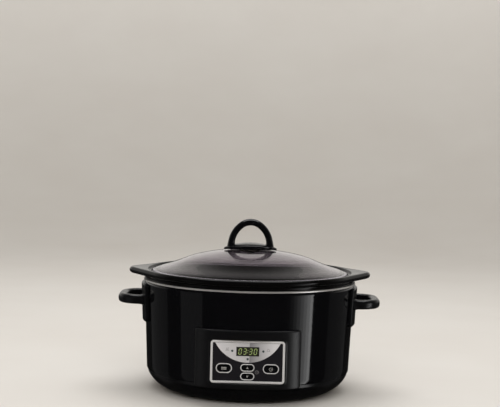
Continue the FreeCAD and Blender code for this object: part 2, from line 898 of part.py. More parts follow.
lid_handle = new_body("lid_handle")
boat_sketch = sketch_on(lid_handle, "XY", boat_low)
draw_outline(boat_sketch, [(boat_half, ZERO, boat_radius), (-boat_half, ZERO, boat_radius)])
pad(lid_handle, boat_sketch, boat_top - boat_low)
fillet(lid_handle, size.boat_tip, lambda edge: edge.BoundBox.ZLength > 1)
crown_sketch = sketch_on(lid_handle, "XZ")
draw_outline(crown_sketch, [
    (ZERO, boat_top),
    (ZERO, boat_top + size.boat_rise),
    (size.boat_length, boat_top + size.boat_rise),
    (size.boat_length, crown_centre + leg(size.boat_dome, size.boat_length), size.boat_dome)])
groove(lid_handle, crown_sketch)
hull_sketch = sketch_on(lid_handle, "XZ")
draw_outline(hull_sketch, [
    (ZERO, boat_low - size.boat_rise),
    (size.boat_length, boat_low - size.boat_rise),
    (size.boat_length, dome_height(under_radius, size.boat_length), under_radius),
    (ZERO, dome_centre + under_radius)])
groove(lid_handle, hull_sketch)


def on_boat_top(edge):
    """Tell whether an edge runs round the top of the boat-shaped foot."""
    middle = edge.valueAt((edge.FirstParameter + edge.LastParameter) / 2)
    across = math.hypot(middle.x, middle.y)
    height = crown_centre.value + math.sqrt(size.boat_dome.value ** 2 - across ** 2)
    return across > 1 and abs(middle.z - height) < 0.01


fillet(lid_handle, size.boat_edge, on_boat_top)
spring = apex + size.loop_spring
half_span = size.loop_span / 2
crown_rise = size.loop_rise - size.loop_crown
side_radius = ((half_span * half_span + size.loop_rise * size.loop_rise
                - size.loop_rise * size.loop_crown * 2) / ((half_span - size.loop_crown) * 2))
bend_share = side_radius / (side_radius - size.loop_crown)
bend_x = size.loop_crown * (side_radius - half_span) / (side_radius - size.loop_crown)
bend_z = spring + crown_rise * bend_share
loop_root = apex + size.gasket * 2
path_sketch = sketch_on(lid_handle, "XZ")
draw_outline(path_sketch, [
    (half_span, loop_root),
    (half_span, spring, side_radius),
    (bend_x, bend_z, size.loop_crown),
    (-bend_x, bend_z, side_radius),
    (-half_span, spring),
    (-half_span, loop_root)], closed=False)
section_sketch = sketch_on(lid_handle, "XY", loop_root)
draw_rectangle(section_sketch, half_span, ZERO, size.loop_thick, size.loop_deep, size.loop_thick * 0.48)
doc.recompute()
loop = lid_handle.newObject("PartDesign::AdditivePipe", "lid_handle_loop")
loop.Profile = section_sketch
loop.Spine = (path_sketch, ["Edge%d" % (index + 1) for index in range(5)])
doc.recompute()
thread_sketch = sketch_on(lid_handle, "XY", boat_low)
draw_circle(thread_sketch, ZERO, ZERO, size.lid_screw_radius + size.fit_gap)
pocket(lid_handle, thread_sketch, apex + size.gasket + size.lid_screw_grip + size.fit_gap - boat_low,
       backward=True)
nodes.append(lid_handle)

# Gasket, washer and screw through the hole in the glass

washer_top = dome_height(inner_dome, size.washer_radius) - size.fit_gap
lid_gasket = turned("lid_gasket", [
    (size.lid_screw_radius + size.fit_gap, dome_height(dome_radius + size.fit_gap, size.lid_screw_radius),
     -(dome_radius + size.fit_gap)),
    (size.gasket_radius, dome_height(dome_radius + size.fit_gap, size.gasket_radius)),
    (size.gasket_radius, dome_height(under_radius - size.fit_gap, size.gasket_radius),
     under_radius - size.fit_gap),
    (size.lid_screw_radius + size.fit_gap, dome_height(under_radius - size.fit_gap, size.lid_screw_radius))])
nodes.append(lid_gasket)
lid_washer = turned("lid_washer", [
    (size.lid_screw_radius + size.fit_gap, washer_top - size.washer),
    (size.washer_radius, washer_top - size.washer),
    (size.washer_radius, washer_top),
    (size.lid_screw_radius + size.fit_gap, washer_top)])
nodes.append(lid_washer)
lid_screw_seat = washer_top - size.washer
lid_screw = screw("lid_screw", (ZERO, ZERO, lid_screw_seat), "+z", size.lid_screw_radius,
                  apex + size.gasket + size.lid_screw_grip - lid_screw_seat,
                  size.lid_screw_radius * 2, size.head_height)
nodes.append(lid_screw)

# Side handles: a plate that follows the housing and a D-shaped grip on two arms

plate_top = shell_top - size.plate_drop
plate_low = plate_top - size.plate_height
grip_half = size.grip_width / 2
arm_inside = grip_half - size.grip_arm
grip_reach = size.shell_top_radius + size.grip_length
bar_inside = grip_reach - size.grip_bar
inner_corner = size.grip_corner - size.grip_arm
root_radius = shell_radius(grip_middle) + size.plate_wall / 2
plate_angle = arcsine((grip_half + size.plate_margin) / root_radius) * 2
grip_hole_start = leg(shell_radius(grip_middle), grip_half)

for label, turn in (("side_handle_left", 180), ("side_handle_right", 0)):
    handle = new_body(label)
    grip_sketch = sketch_on(handle, "XY", grip_middle)
    draw_outline(grip_sketch, [
        (leg(root_radius, grip_half), -grip_half),
        (grip_reach - size.grip_corner, -grip_half, size.grip_corner),
        (grip_reach, -grip_half + size.grip_corner),
        (grip_reach, grip_half - size.grip_corner, size.grip_corner),
        (grip_reach - size.grip_corner, grip_half),
        (leg(root_radius, grip_half), grip_half, -root_radius),
        (leg(root_radius, arm_inside), arm_inside),
        (bar_inside - inner_corner, arm_inside, -inner_corner),
        (bar_inside, arm_inside - inner_corner),
        (bar_inside, -arm_inside + inner_corner, -inner_corner),
        (bar_inside - inner_corner, -arm_inside),
        (leg(root_radius, arm_inside), -arm_inside, -root_radius)])
    pad(handle, grip_sketch, size.grip_thick, midplane=True)
    fillet(handle, size.grip_edge,
           lambda edge: edge.BoundBox.ZLength < 0.01 and edge.BoundBox.XMax > root_radius.value)
    plate_sketch = sketch_on(handle, "XZ")
    draw_outline(plate_sketch, [
        (shell_radius(plate_low) + size.fit_gap, plate_low),
        (shell_radius(plate_low) + size.fit_gap + size.plate_wall, plate_low),
        (shell_radius(plate_top) + size.fit_gap + size.plate_wall, plate_top),
        (shell_radius(plate_top) + size.fit_gap, plate_top)])
    revolve(handle, plate_sketch, plate_angle)
    fillet(handle, size.plate_corner, lambda edge: (at(edge, z=plate_top) or at(edge, z=plate_low))
           and edge.Length < size.plate_wall.value + 0.1)
    fillet(handle, size.plate_edge, lambda edge: (at(edge, z=plate_top) or at(edge, z=plate_low))
           and edge.BoundBox.XMax > shell_radius(plate_low).value + size.plate_wall.value)
    bore_sketch = sketch_on(handle, "YZ", grip_hole_start)
    for y in (-grip_screw_y, grip_screw_y):
        draw_circle(bore_sketch, y, grip_middle, screw_hole)
    pocket(handle, bore_sketch, size.grip_screw_depth, backward=True)
    handle.Placement.Rotation = FreeCAD.Rotation(FreeCAD.Vector(0, 0, 1), turn)
    nodes.append(handle)

grip_seat = leg(shell_radius(grip_middle - size.head_radius) - size.sheet_steel,
                grip_screw_y + size.head_radius) - size.fit_gap
grip_screw_length = grip_hole_start + size.grip_screw_depth - size.running_gap - grip_seat
handle_screws = []
for way in ("+x", "-x"):
    for y in (-grip_screw_y, grip_screw_y):
        seat = (grip_seat if way == "+x" else -grip_seat, y, grip_middle)
        handle_screws.append(screw("handle_screw", seat, way, size.screw_radius, grip_screw_length,
                                   size.head_radius, size.head_height))
nodes.append(group("handle_screws", handle_screws))

# Control boss: a bulged cover outside the housing and a square tunnel through the housing's window

boss_half = tunnel_width / 2 + size.boss_wing
boss_top = boss_bottom + boss_height
boss_root = leg(shell_radius(boss_bottom), boss_half) - size.boss_overlap
face_centre = shell_radius(panel_middle) + size.boss_bulge - size.boss_face_radius


def face_depth(across):
    """Distance of the boss's face in front of the axis plane."""
    return face_centre + leg(size.boss_face_radius, across)


panel_front = face_depth(size.panel_width / 2)
fascia_back = panel_front - size.fascia_plate - size.field_rise
field_front = panel_front

control_boss = new_body("control_boss")
cover_sketch = sketch_on(control_boss, "XY", boss_bottom)
draw_outline(cover_sketch, [
    (-boss_half, -face_depth(boss_half), size.boss_face_radius),
    (boss_half, -face_depth(boss_half)),
    (boss_half, -boss_root),
    (-boss_half, -boss_root)])
pad(control_boss, cover_sketch, boss_height)
fillet(control_boss, size.boss_edge,
       lambda edge: edge.BoundBox.ZLength > 1 and edge.BoundBox.YMax < -boss_root.value - 1)
fillet(control_boss, size.boss_brow, lambda edge: (at(edge, z=boss_bottom) or at(edge, z=boss_top))
       and edge.BoundBox.YMin < -boss_root.value - 1)
cone_sketch = sketch_on(control_boss, "XZ")
draw_outline(cone_sketch, [
    (ZERO, boss_bottom - size.boss_edge),
    (shell_radius(boss_bottom - size.boss_edge) + size.fit_gap, boss_bottom - size.boss_edge),
    (shell_radius(boss_top + size.boss_edge) + size.fit_gap, boss_top + size.boss_edge),
    (ZERO, boss_top + size.boss_edge)])
groove(control_boss, cone_sketch)
tunnel_sketch = sketch_on(control_boss, "XY", panel_middle - tunnel_height / 2)
tunnel_face = size.boss_face_radius - size.panel_wall / 2
tunnel_front = face_centre + leg(tunnel_face, tunnel_width / 2)
tunnel_back = fascia_back - size.panel_ledge_depth
draw_outline(tunnel_sketch, [
    (-tunnel_width / 2, -tunnel_front, tunnel_face),
    (tunnel_width / 2, -tunnel_front),
    (tunnel_width / 2, -tunnel_back),
    (-tunnel_width / 2, -tunnel_back)])
pad(control_boss, tunnel_sketch, tunnel_height)
recess_sketch = sketch_on(control_boss, "XZ", fascia_back)
draw_rectangle(recess_sketch, ZERO, panel_middle, size.panel_width + size.fit_gap * 2,
               size.panel_height + size.fit_gap * 2, size.panel_corner)
pocket(control_boss, recess_sketch, backward=True)
opening_sketch = sketch_on(control_boss, "XZ", fascia_back)
draw_rectangle(opening_sketch, ZERO, panel_middle, size.panel_width - size.panel_ledge * 2,
               size.panel_height - size.panel_ledge * 2)
pocket(control_boss, opening_sketch, midplane=True)
boss_seats = [leg(shell_radius(z - size.head_radius) - size.sheet_steel, boss_screw_x + size.head_radius)
              - size.fit_gap for x, z in boss_screw_places]
boss_bore_end = leg(shell_radius(boss_top), boss_screw_x) + size.boss_screw_depth
boss_bore_sketch = sketch_on(control_boss, "XZ", boss_root)
for x, z in boss_screw_places:
    draw_circle(boss_bore_sketch, x, z, screw_hole)
pocket(control_boss, boss_bore_sketch, boss_bore_end - boss_root, backward=True)
nodes.append(control_boss)
boss_screws = []
for (x, z), seat in zip(boss_screw_places, boss_seats):
    boss_screws.append(screw("boss_screw", (x, -seat, z), "-y", size.screw_radius,
                             boss_bore_end - size.running_gap - seat, size.head_radius, size.head_height))
nodes.append(group("boss_screws", boss_screws))

# Places on the control panel

plate_front = fascia_back + size.fascia_plate
display_z = panel_bottom + size.display_up
board_front = fascia_back - size.module_depth
indicators = {
    "indicator_left": (-size.indicator_x, panel_bottom + size.indicator_up),
    "indicator_right": (size.indicator_x, panel_bottom + size.indicator_up),
    "indicator_low": (ZERO, panel_bottom + size.indicator_low_up)}
side_button_x = size.panel_width / 2 - size.side_button_inset
buttons = {
    "mode_button": (-side_button_x, panel_bottom + size.side_button_up,
                    size.big_button_width, size.big_button_height),
    "power_button": (side_button_x, panel_bottom + size.side_button_up,
                     size.big_button_width, size.big_button_height),
    "up_button": (ZERO, panel_bottom + size.up_button_up,
                  size.small_button_width, size.small_button_height),
    "down_button": (ZERO, panel_bottom + size.down_button_up,
                    size.small_button_width, size.small_button_height)}
board_width = size.panel_width - size.board_margin * 2
board_post_x = board_width / 2 - size.board_inset
board_post_z = size.board_height / 2 - size.board_inset
board_post_places = [(x, panel_middle + z) for x in (-board_post_x, board_post_x)
                     for z in (-board_post_z, board_post_z)]
field_width = size.panel_width - size.frame_line * 2
field_height = size.panel_height - size.frame_line * 2
field_top = panel_middle + field_height / 2 - size.fit_gap
field_corner = size.panel_corner - size.frame_line


def draw_openings(sketch):
    """Draw the display window and the indicators' holes."""
    draw_rectangle(sketch, ZERO, display_z, size.display_width + size.fit_gap * 2,
                   size.display_height + size.fit_gap * 2)
    for x, z in indicators.values():
        draw_circle(sketch, x, z, size.indicator_radius + size.fit_gap)


# Fascia: a plate with a raised field, openings and four posts behind

control_fascia = new_body("control_fascia")
plate_sketch = sketch_on(control_fascia, "XZ", fascia_back)
draw_rectangle(plate_sketch, ZERO, panel_middle, size.panel_width, size.panel_height, size.panel_corner)
pad(control_fascia, plate_sketch, size.fascia_plate)
field_sketch = sketch_on(control_fascia, "XZ", plate_front)
draw_rectangle(field_sketch, ZERO, panel_middle, field_width - size.fit_gap * 2,
               field_height - size.fit_gap * 2, field_corner)
pad(control_fascia, field_sketch, size.field_rise)
post_sketch = sketch_on(control_fascia, "XZ", fascia_back)
for x, z in board_post_places:
    draw_circle(post_sketch, x, z, size.post_radius)
pad(control_fascia, post_sketch, size.module_depth, backward=True)
opening_sketch = sketch_on(control_fascia, "XZ", field_front)
draw_openings(opening_sketch)
for x, z, width, height in buttons.values():
    draw_pill(opening_sketch, x, z, width + size.running_gap * 2, height + size.running_gap * 2)
pocket(control_fascia, opening_sketch, size.fascia_plate + size.field_rise)
bore_sketch = sketch_on(control_fascia, "XZ", board_front)
for x, z in board_post_places:
    draw_circle(bore_sketch, x, z, screw_hole)
pocket(control_fascia, bore_sketch, size.board_screw_depth + size.running_gap, backward=True)
nodes.append(control_fascia)

# Silver frame and brushed crescent

fascia_frame = new_body("fascia_frame")
frame_sketch = sketch_on(fascia_frame, "XZ", plate_front)
draw_rectangle(frame_sketch, ZERO, panel_middle, size.panel_width, size.panel_height, size.panel_corner)
draw_rectangle(frame_sketch, ZERO, panel_middle, field_width, field_height, field_corner)
pad(fascia_frame, frame_sketch, size.frame_rise)
nodes.append(fascia_frame)

crescent_half = size.panel_width / 2 - size.crescent_inset
crescent_radius = ((crescent_half * crescent_half + size.crescent_depth * size.crescent_depth)
                   / (size.crescent_depth * 2))
fascia_crescent = new_body("fascia_crescent")
crescent_sketch = sketch_on(fascia_crescent, "XZ", field_front)
draw_outline(crescent_sketch, [
    (crescent_half, field_top),
    (-crescent_half, field_top, crescent_radius)])
draw_openings(crescent_sketch)
pad(fascia_crescent, crescent_sketch, size.crescent_sheet)
nodes.append(fascia_crescent)

# Display and indicators

crescent_front = field_front + size.crescent_sheet
display_window = block(
    "display_window",
    (-size.display_width / 2, -crescent_front, display_z - size.display_height / 2),
    (size.display_width, crescent_front - fascia_back, size.display_height))
nodes.append(display_window)
module_width = size.display_width + size.module_border * 2
module_height = size.display_height + size.module_border * 2
display_module = block(
    "display_module",
    (-module_width / 2, -fascia_back, display_z - module_height / 2),
    (module_width, size.module_depth, module_height))
nodes.append(display_module)
for label, (x, z) in indicators.items():
    nodes.append(rod(label, (x, -board_front, z), "-y", size.indicator_radius,
                     crescent_front + size.indicator_rise - board_front))

# Buttons with a stop flange and a stem over the switch, and their silver rings

plunger_front = board_front + size.switch_height + size.plunger_rise
stem_end = plunger_front + size.button_travel + size.fit_gap
flange_front = fascia_back - size.fit_gap
for label, (x, z, width, height) in buttons.items():
    button = new_body(label)
    cap_sketch = sketch_on(button, "XZ", flange_front)
    draw_pill(cap_sketch, x, z, width, height)
    pad(button, cap_sketch, field_front + size.button_rise - flange_front)
    flange_sketch = sketch_on(button, "XZ", flange_front)
    draw_pill(flange_sketch, x, z, width + size.button_flange * 2, height + size.button_flange * 2)
    pad(button, flange_sketch, size.button_flange, backward=True)
    stem_sketch = sketch_on(button, "XZ", stem_end)
    draw_circle(stem_sketch, x, z, size.stem_radius)
    pad(button, stem_sketch, flange_front - size.button_flange - stem_end)
    fillet(button, size.button_rise / 3, lambda edge: at(edge, y=-(field_front + size.button_rise)))
    nodes.append(button)
    ring = new_body(label + "_ring")
    ring_sketch = sketch_on(ring, "XZ", field_front)
    ring_width = width + (size.running_gap + size.ring_line) * 2
    ring_height = height + (size.running_gap + size.ring_line) * 2
    draw_pill(ring_sketch, x, z, ring_width, ring_height)
    draw_pill(ring_sketch, x, z, width + size.running_gap * 2, height + size.running_gap * 2)
    pad(ring, ring_sketch, size.ring_rise)
    nodes.append(ring)

# Control board with its switches and screws

control_board = new_body("control_board")
board_sketch = sketch_on(control_board, "XZ", board_front)
draw_rectangle(board_sketch, ZERO, panel_middle, board_width, size.board_height)
for x, z in board_post_places:
    draw_circle(board_sketch, x, z, screw_hole)
pad(control_board, board_sketch, size.board_sheet, backward=True)
nodes.append(control_board)
switches = []
for label, (x, z, width, height) in buttons.items():
    can = block(label + "_can", (x - size.switch_width / 2, -(board_front + size.switch_height),
                                 z - size.switch_width / 2),
                (size.switch_width, size.switch_height, size.switch_width))
    plunger = rod(label + "_plunger", (x, -(board_front + size.switch_height), z), "-y",
                  size.plunger_radius, size.plunger_rise)
    switches.append(fuse(label + "_switch", can, plunger))
nodes.append(group("tact_switches", switches))
board_back = board_front - size.board_sheet
board_screws = [screw("board_screw", (x, -board_back, z), "-y", size.screw_radius,
                      size.board_sheet + size.board_screw_depth, size.head_radius, size.head_height)
                for x, z in board_post_places]
nodes.append(group("board_screws", board_screws))

# Heater round the well, its clamp, fuse and sensor

heater_low = well_floor + size.heater_up
heater_high = heater_low + size.heater_height


def sleeve(label, low, high, inside, wall):
    """Band that follows the well's wall at a distance outside it."""
    return turned(label, [
        (well_radius(low) + inside, low),
        (well_radius(low) + inside + wall, low),
        (well_radius(high) + inside + wall, high),
        (well_radius(high) + inside, high)])


nodes.append(sleeve("heater_band", heater_low, heater_high, size.fit_gap, size.heater_thick))
clamp_low = (heater_low + heater_high - size.clamp_height) / 2
clamp_high = clamp_low + size.clamp_height
clamp_inside = size.fit_gap * 2 + size.heater_thick
heater_clamp = sleeve("heater_clamp", clamp_low, clamp_high, clamp_inside, size.clamp_strip)
clamp_middle = (clamp_low + clamp_high) / 2
ear_start = well_radius(clamp_high) + clamp_inside
ear_end = ear_start + size.clamp_strip + size.clamp_ear
ear_sketch = sketch_on(heater_clamp, "YZ")
draw_outline(ear_sketch, [(ear_start, clamp_low), (ear_end, clamp_low), (ear_end, clamp_high),
                          (ear_start, clamp_high)])
pad(heater_clamp, ear_sketch, size.clamp_slot + size.clamp_ear_wall * 2, midplane=True)
slot_sketch = sketch_on(heater_clamp, "YZ")
draw_outline(slot_sketch, [(ear_start - clamp_inside, clamp_low), (ear_end, clamp_low), (ear_end, clamp_high),
                           (ear_start - clamp_inside, clamp_high)])
pocket(heater_clamp, slot_sketch, size.clamp_slot, midplane=True)
clamp_screw_y = ear_end - size.clamp_ear / 2
ear_hole_sketch = sketch_on(heater_clamp, "YZ")
draw_circle(ear_hole_sketch, clamp_screw_y, clamp_middle, size.clamp_screw_radius + size.fit_gap)
pocket(heater_clamp, ear_hole_sketch, midplane=True)
nodes.append(heater_clamp)
ear_outside = size.clamp_slot / 2 + size.clamp_ear_wall
nodes.append(screw("clamp_screw", (-ear_outside, clamp_screw_y, clamp_middle), "+x", size.clamp_screw_radius,
                   ear_outside * 2 + size.clamp_ear_wall, size.head_radius, size.head_height))

fuse_z = well_floor + size.fuse_up
fuse_y = well_radius(fuse_z + size.fuse_radius) + size.fuse_radius + size.running_gap
thermal_fuse = rod("thermal_fuse", (-size.fuse_length / 2, fuse_y, fuse_z), "+x",
                   size.fuse_radius, size.fuse_length)
nodes.append(thermal_fuse)
clip_depth = size.fuse_radius + size.fit_gap + size.clip_wall
clip_block = block("fuse_clip_block",
                   (-size.clip_width / 2, fuse_y - size.fuse_radius, fuse_z - clip_depth),
                   (size.clip_width, size.fuse_radius + clip_depth, clip_depth * 2))
clip_bore = rod("fuse_clip_bore", (-size.clip_width, fuse_y, fuse_z), "+x",
                size.fuse_radius + size.fit_gap, size.clip_width * 2)
nodes.append(cut("fuse_clip", clip_block, clip_bore))
nodes.append(rod("temperature_sensor", (ZERO, size.sensor_back, well_under), "-z",
                 size.sensor_radius, size.sensor_height))

# Studs under the well, the heat shield on their shoulders and the screws from below

shield_low = well_under - size.shield_gap
shield_radius = well_foot - size.shield_inset
heat_shield = turned("heat_shield", [
    (ZERO, shield_low),
    (shield_radius, shield_low),
    (shield_radius, shield_low + size.shield_rim),
    (shield_radius - size.shield_sheet, shield_low + size.shield_rim),
    (shield_radius - size.shield_sheet, shield_low + size.shield_sheet),
    (ZERO, shield_low + size.shield_sheet)])
shield_hole_sketch = sketch_on(heat_shield, "XY", shield_low)
for x, y in stud_places:
    draw_circle(shield_hole_sketch, x, y, size.stud_neck + size.fit_gap)
pocket(heat_shield, shield_hole_sketch, size.shield_sheet, backward=True)
nodes.append(heat_shield)
studs = []
base_screws = []
for x, y in stud_places:
    column = rod("stud_column", (x, y, tray_floor), "+z", size.stud_radius, shield_low - tray_floor)
    neck = rod("stud_neck", (x, y, shield_low), "+z", size.stud_neck, well_under - shield_low)
    bore = rod("stud_bore", (x, y, tray_floor), "+z", size.base_screw_radius + size.fit_gap,
               size.base_screw_depth + size.running_gap)
    studs.append(cut("well_stud", fuse("stud_turning", column, neck), bore))
    base_screws.append(screw("base_screw", (x, y, size.foot_height), "+z", size.base_screw_radius,
                             size.tray_wall + size.base_screw_depth, size.base_head_radius,
                             size.base_head_height))
nodes.append(group("well_studs", studs))
nodes.append(group("base_screws", base_screws))

# Power board on the tray's posts

power_top = power_low + size.board_sheet
power_board = new_body("power_board")
power_sketch = sketch_on(power_board, "XY", power_low)
draw_rectangle(power_sketch, ZERO, power_back, size.power_length, size.power_width)
for x, y in power_places:
    draw_circle(power_sketch, x, y, screw_hole)
pad(power_board, power_sketch, size.board_sheet)
nodes.append(power_board)
power_screws = [screw("power_screw", (x, y, power_top), "-z", size.screw_radius,
                      size.board_sheet + size.power_screw_depth, size.head_radius, size.head_height)
                for x, y in power_places]
nodes.append(group("power_board_screws", power_screws))
nodes.append(block("power_relay",
                   (size.relay_x - size.relay_length / 2, power_back - size.relay_width / 2, power_top),
                   (size.relay_length, size.relay_width, size.relay_height)))
nodes.append(block("supply_capacitor",
                   (size.terminal_x - size.capacitor_length / 2,
                    power_back - size.component_gap / 2 - size.capacitor_width, power_top),
                   (size.capacitor_length, size.capacitor_width, size.capacitor_height)))
nodes.append(block("terminal_block",
                   (size.terminal_x - size.terminal_length / 2, power_back + size.component_gap / 2,
                    power_top),
                   (size.terminal_length, size.terminal_width, size.terminal_height)))

# Cord gland through the back of the housing

gland_outside = shell_radius(gland_up + size.gland_flange) + size.fit_gap
gland_inside = leg(shell_radius(gland_up - size.gland_collar) - size.sheet_steel,
                   size.gland_collar) - size.fit_gap
collar_end = gland_inside - size.gland_collar_wall
cord_gland = turned("cord_gland", [
    (size.gland_bore, collar_end - size.gland_tail),
    (size.gland_neck, collar_end - size.gland_tail),
    (size.gland_neck, collar_end),
    (size.gland_collar, collar_end),
    (size.gland_collar, gland_inside),
    (size.gland_neck, gland_inside),
    (size.gland_neck, gland_outside),
    (size.gland_flange, gland_outside),
    (size.gland_flange, gland_outside + size.gland_flange_wall),
    (size.gland_bore, gland_outside + size.gland_flange_wall)], plane="XY", offset=gland_up)
nodes.append(cord_gland)

# Checks and files

doc.recompute()
for feature in doc.Objects:
    if "Invalid" in feature.State or "Error" in feature.State:
        raise ValueError(feature.Label + " did not build")
os.makedirs("parts", exist_ok=True)
for node in nodes:
    if node.Shape.isNull() or not node.Shape.isValid():
        raise ValueError(node.Label + " has no valid shape")
    node.Shape.exportStep("parts/%s.step" % node.Label)
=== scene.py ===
import json
import math

import bmesh
import bpy
import numpy as np
from bpy.props import FloatProperty, FloatVectorProperty, PointerProperty
from mathutils import Matrix, Vector


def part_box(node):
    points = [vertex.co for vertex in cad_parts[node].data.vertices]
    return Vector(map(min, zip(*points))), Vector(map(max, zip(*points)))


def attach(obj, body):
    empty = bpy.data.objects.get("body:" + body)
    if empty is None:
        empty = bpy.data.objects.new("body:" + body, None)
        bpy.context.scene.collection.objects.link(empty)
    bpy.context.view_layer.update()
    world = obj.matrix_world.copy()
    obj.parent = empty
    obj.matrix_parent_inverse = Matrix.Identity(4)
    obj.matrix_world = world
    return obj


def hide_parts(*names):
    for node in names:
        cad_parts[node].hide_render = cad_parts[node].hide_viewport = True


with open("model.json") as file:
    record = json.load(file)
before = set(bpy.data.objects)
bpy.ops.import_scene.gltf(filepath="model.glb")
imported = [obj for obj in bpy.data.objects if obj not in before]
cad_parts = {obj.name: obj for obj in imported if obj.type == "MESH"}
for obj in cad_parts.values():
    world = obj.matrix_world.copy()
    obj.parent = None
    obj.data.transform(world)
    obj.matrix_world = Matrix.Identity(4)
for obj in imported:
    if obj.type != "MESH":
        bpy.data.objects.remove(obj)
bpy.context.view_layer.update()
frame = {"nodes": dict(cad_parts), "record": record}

bl_info = {
    "name": "Slow Cooker",
    "version": (1, 0, 0),
    "blender": (4, 5, 0),
    "location": "3D View > Sidebar > Slow Cooker",
    "description": "Finished pieces, finishes and a stage for a round slow cooker",
    "category": "Object",
}

MM = 0.001
TINY = 0.01 * MM


def linear(code):
    """Linear RGBA of an sRGB hex colour."""
    srgb = np.array([int(code[place:place + 2], 16) for place in (1, 3, 5)]) / 255
    flat = np.where(srgb <= 0.04045, srgb / 12.92, ((srgb + 0.055) / 1.055) ** 2.4)
    return (*flat.tolist(), 1.0)


def length(name, description, millimetres):
    """Length property with a default in millimetres."""
    return FloatProperty(name=name, description=description, default=millimetres * MM, unit="LENGTH")


def power(name, description, watts):
    """Lamp power property with a default in watts."""
    return FloatProperty(name=name, description=description, default=watts, unit="POWER")


def angle(name, description, degrees):
    """Angle property with a default in degrees."""
    return FloatProperty(name=name, description=description, default=math.radians(degrees), subtype="ANGLE")


def ratio(name, description, share):
    """Property that has no unit."""
    return FloatProperty(name=name, description=description, default=share)


def colour(name, description, code):
    """Colour property with an sRGB hex default."""
    return FloatVectorProperty(name=name, description=description, default=linear(code), size=4,
                               subtype="COLOR", min=0, max=1)


class BodySizes(bpy.types.PropertyGroup):
    """Sizes of the housing, its ring and the side handles."""
    wall_top: length("Wall top radius", "Housing's outside radius at its top edge", 149)
    wall_taper: length("Wall taper", "How much narrower the housing is at its foot", 5.5)
    wall_roll: length("Wall roll", "Radius of the turned-in edge at the housing's foot", 1.6)
    wall_flange: length("Wall flange", "Width of the flange turned in under the housing", 8)
    wall_sheet: length("Wall sheet", "Thickness of the housing's steel", 1)
    window_half: length("Window half width", "Half the width of the opening behind the controls", 52.3)
    window_low: length("Window foot", "Height of the opening's lower edge", 30.6)
    window_high: length("Window head", "Height of the opening's upper edge", 93.4)
    ring_bore: length("Ring bore", "Inside radius of the bright ring", 132.5)
    ring_wrap: length("Ring wrap", "Thickness of the ring outside the wall", 1.2)
    ring_lap: length("Ring lap", "How far the ring reaches down the wall", 0.2)
    grip_up: length("Grip height", "Height of the grip above the foot of its plate", 31)
    grip_bar: length("Grip bar", "Width of a side handle's bar seen from above", 12)
    grip_thick: length("Grip thickness", "Height of a side handle's bar", 13)
    grip_arm: length("Grip arm", "Distance of a grip's arm from the handle's middle", 39)
    grip_bend: length("Grip bend", "Radius of the bend between an arm and the bar", 25)
    plate_thick: length("Plate thickness", "Thickness of a handle's plate", 4.5)
    plate_corner: length("Plate corner", "Radius of the plate's corners", 7)
    plate_gap: length("Plate gap", "Gap between a plate and the wall", 0.15)
    plate_turn: length("Plate turn", "Radius on which a plate is bent", 152)
    foot_radius: length("Foot radius", "Radius of a rubber foot under the tray", 10)
    foot_tread: length("Foot tread", "Radius of the face on which a foot stands", 8.6)
    foot_hollow: length("Foot hollow", "Radius of the hollow under a foot", 5)
    foot_plug: length("Foot plug", "Radius of the plug that holds a foot in the tray", 2.5)


class PotSizes(bpy.types.PropertyGroup):
    """Sizes of the stoneware pot."""
    floor_thick: length("Floor", "Thickness of the pot's floor", 9)
    floor_radius: length("Floor radius", "Inside radius at the floor", 109.9)
    mouth_radius: length("Mouth radius", "Inside radius at the lid's ledge", 120.76)
    ledge_rise: length("Ledge rise", "Height of the lid's ledge above the pot's seat", 8)
    ledge_radius: length("Ledge radius", "Outside radius of the ledge", 140)
    step_rise: length("Step rise", "Height of the step outside the ledge", 2.5)
    step_radius: length("Step radius", "Outside radius of the step", 144)
    lip_radius: length("Lip radius", "Radius of the lip between the lugs", 152)
    lip_rise: length("Lip rise", "Height of the lip above the pot's seat", 15)
    lip_nose: length("Lip nose", "Radius of the lip's round edge", 4.4)
    lip_slope: ratio("Lip slope", "Rise of the dish for each unit outwards", 0.23)
    lug_slope: ratio("Lug slope", "Rise of a lug for each unit outwards", 0.03)
    lug_reach: length("Lug reach", "Distance from the axis to a lug's tip", 171.5)
    lug_tip: length("Lug tip", "Radius of a lug's tip seen from above", 28)
    shoulder_radius: length("Shoulder radius", "Radius where the lip leaves the shoulder", 149)
    shoulder_rise: length("Shoulder rise", "Height of the shoulder above the pot's seat", 5)
    seat_radius: length("Seat radius", "Outside radius of the seat on the ring", 147.5)
    neck_radius: length("Neck radius", "Outside radius of the wall at the seat", 128)
    foot_radius: length("Foot radius", "Outside radius of the wall at the bottom", 117)
    foot_round: length("Foot round", "Radius between the wall and the bottom", 20)


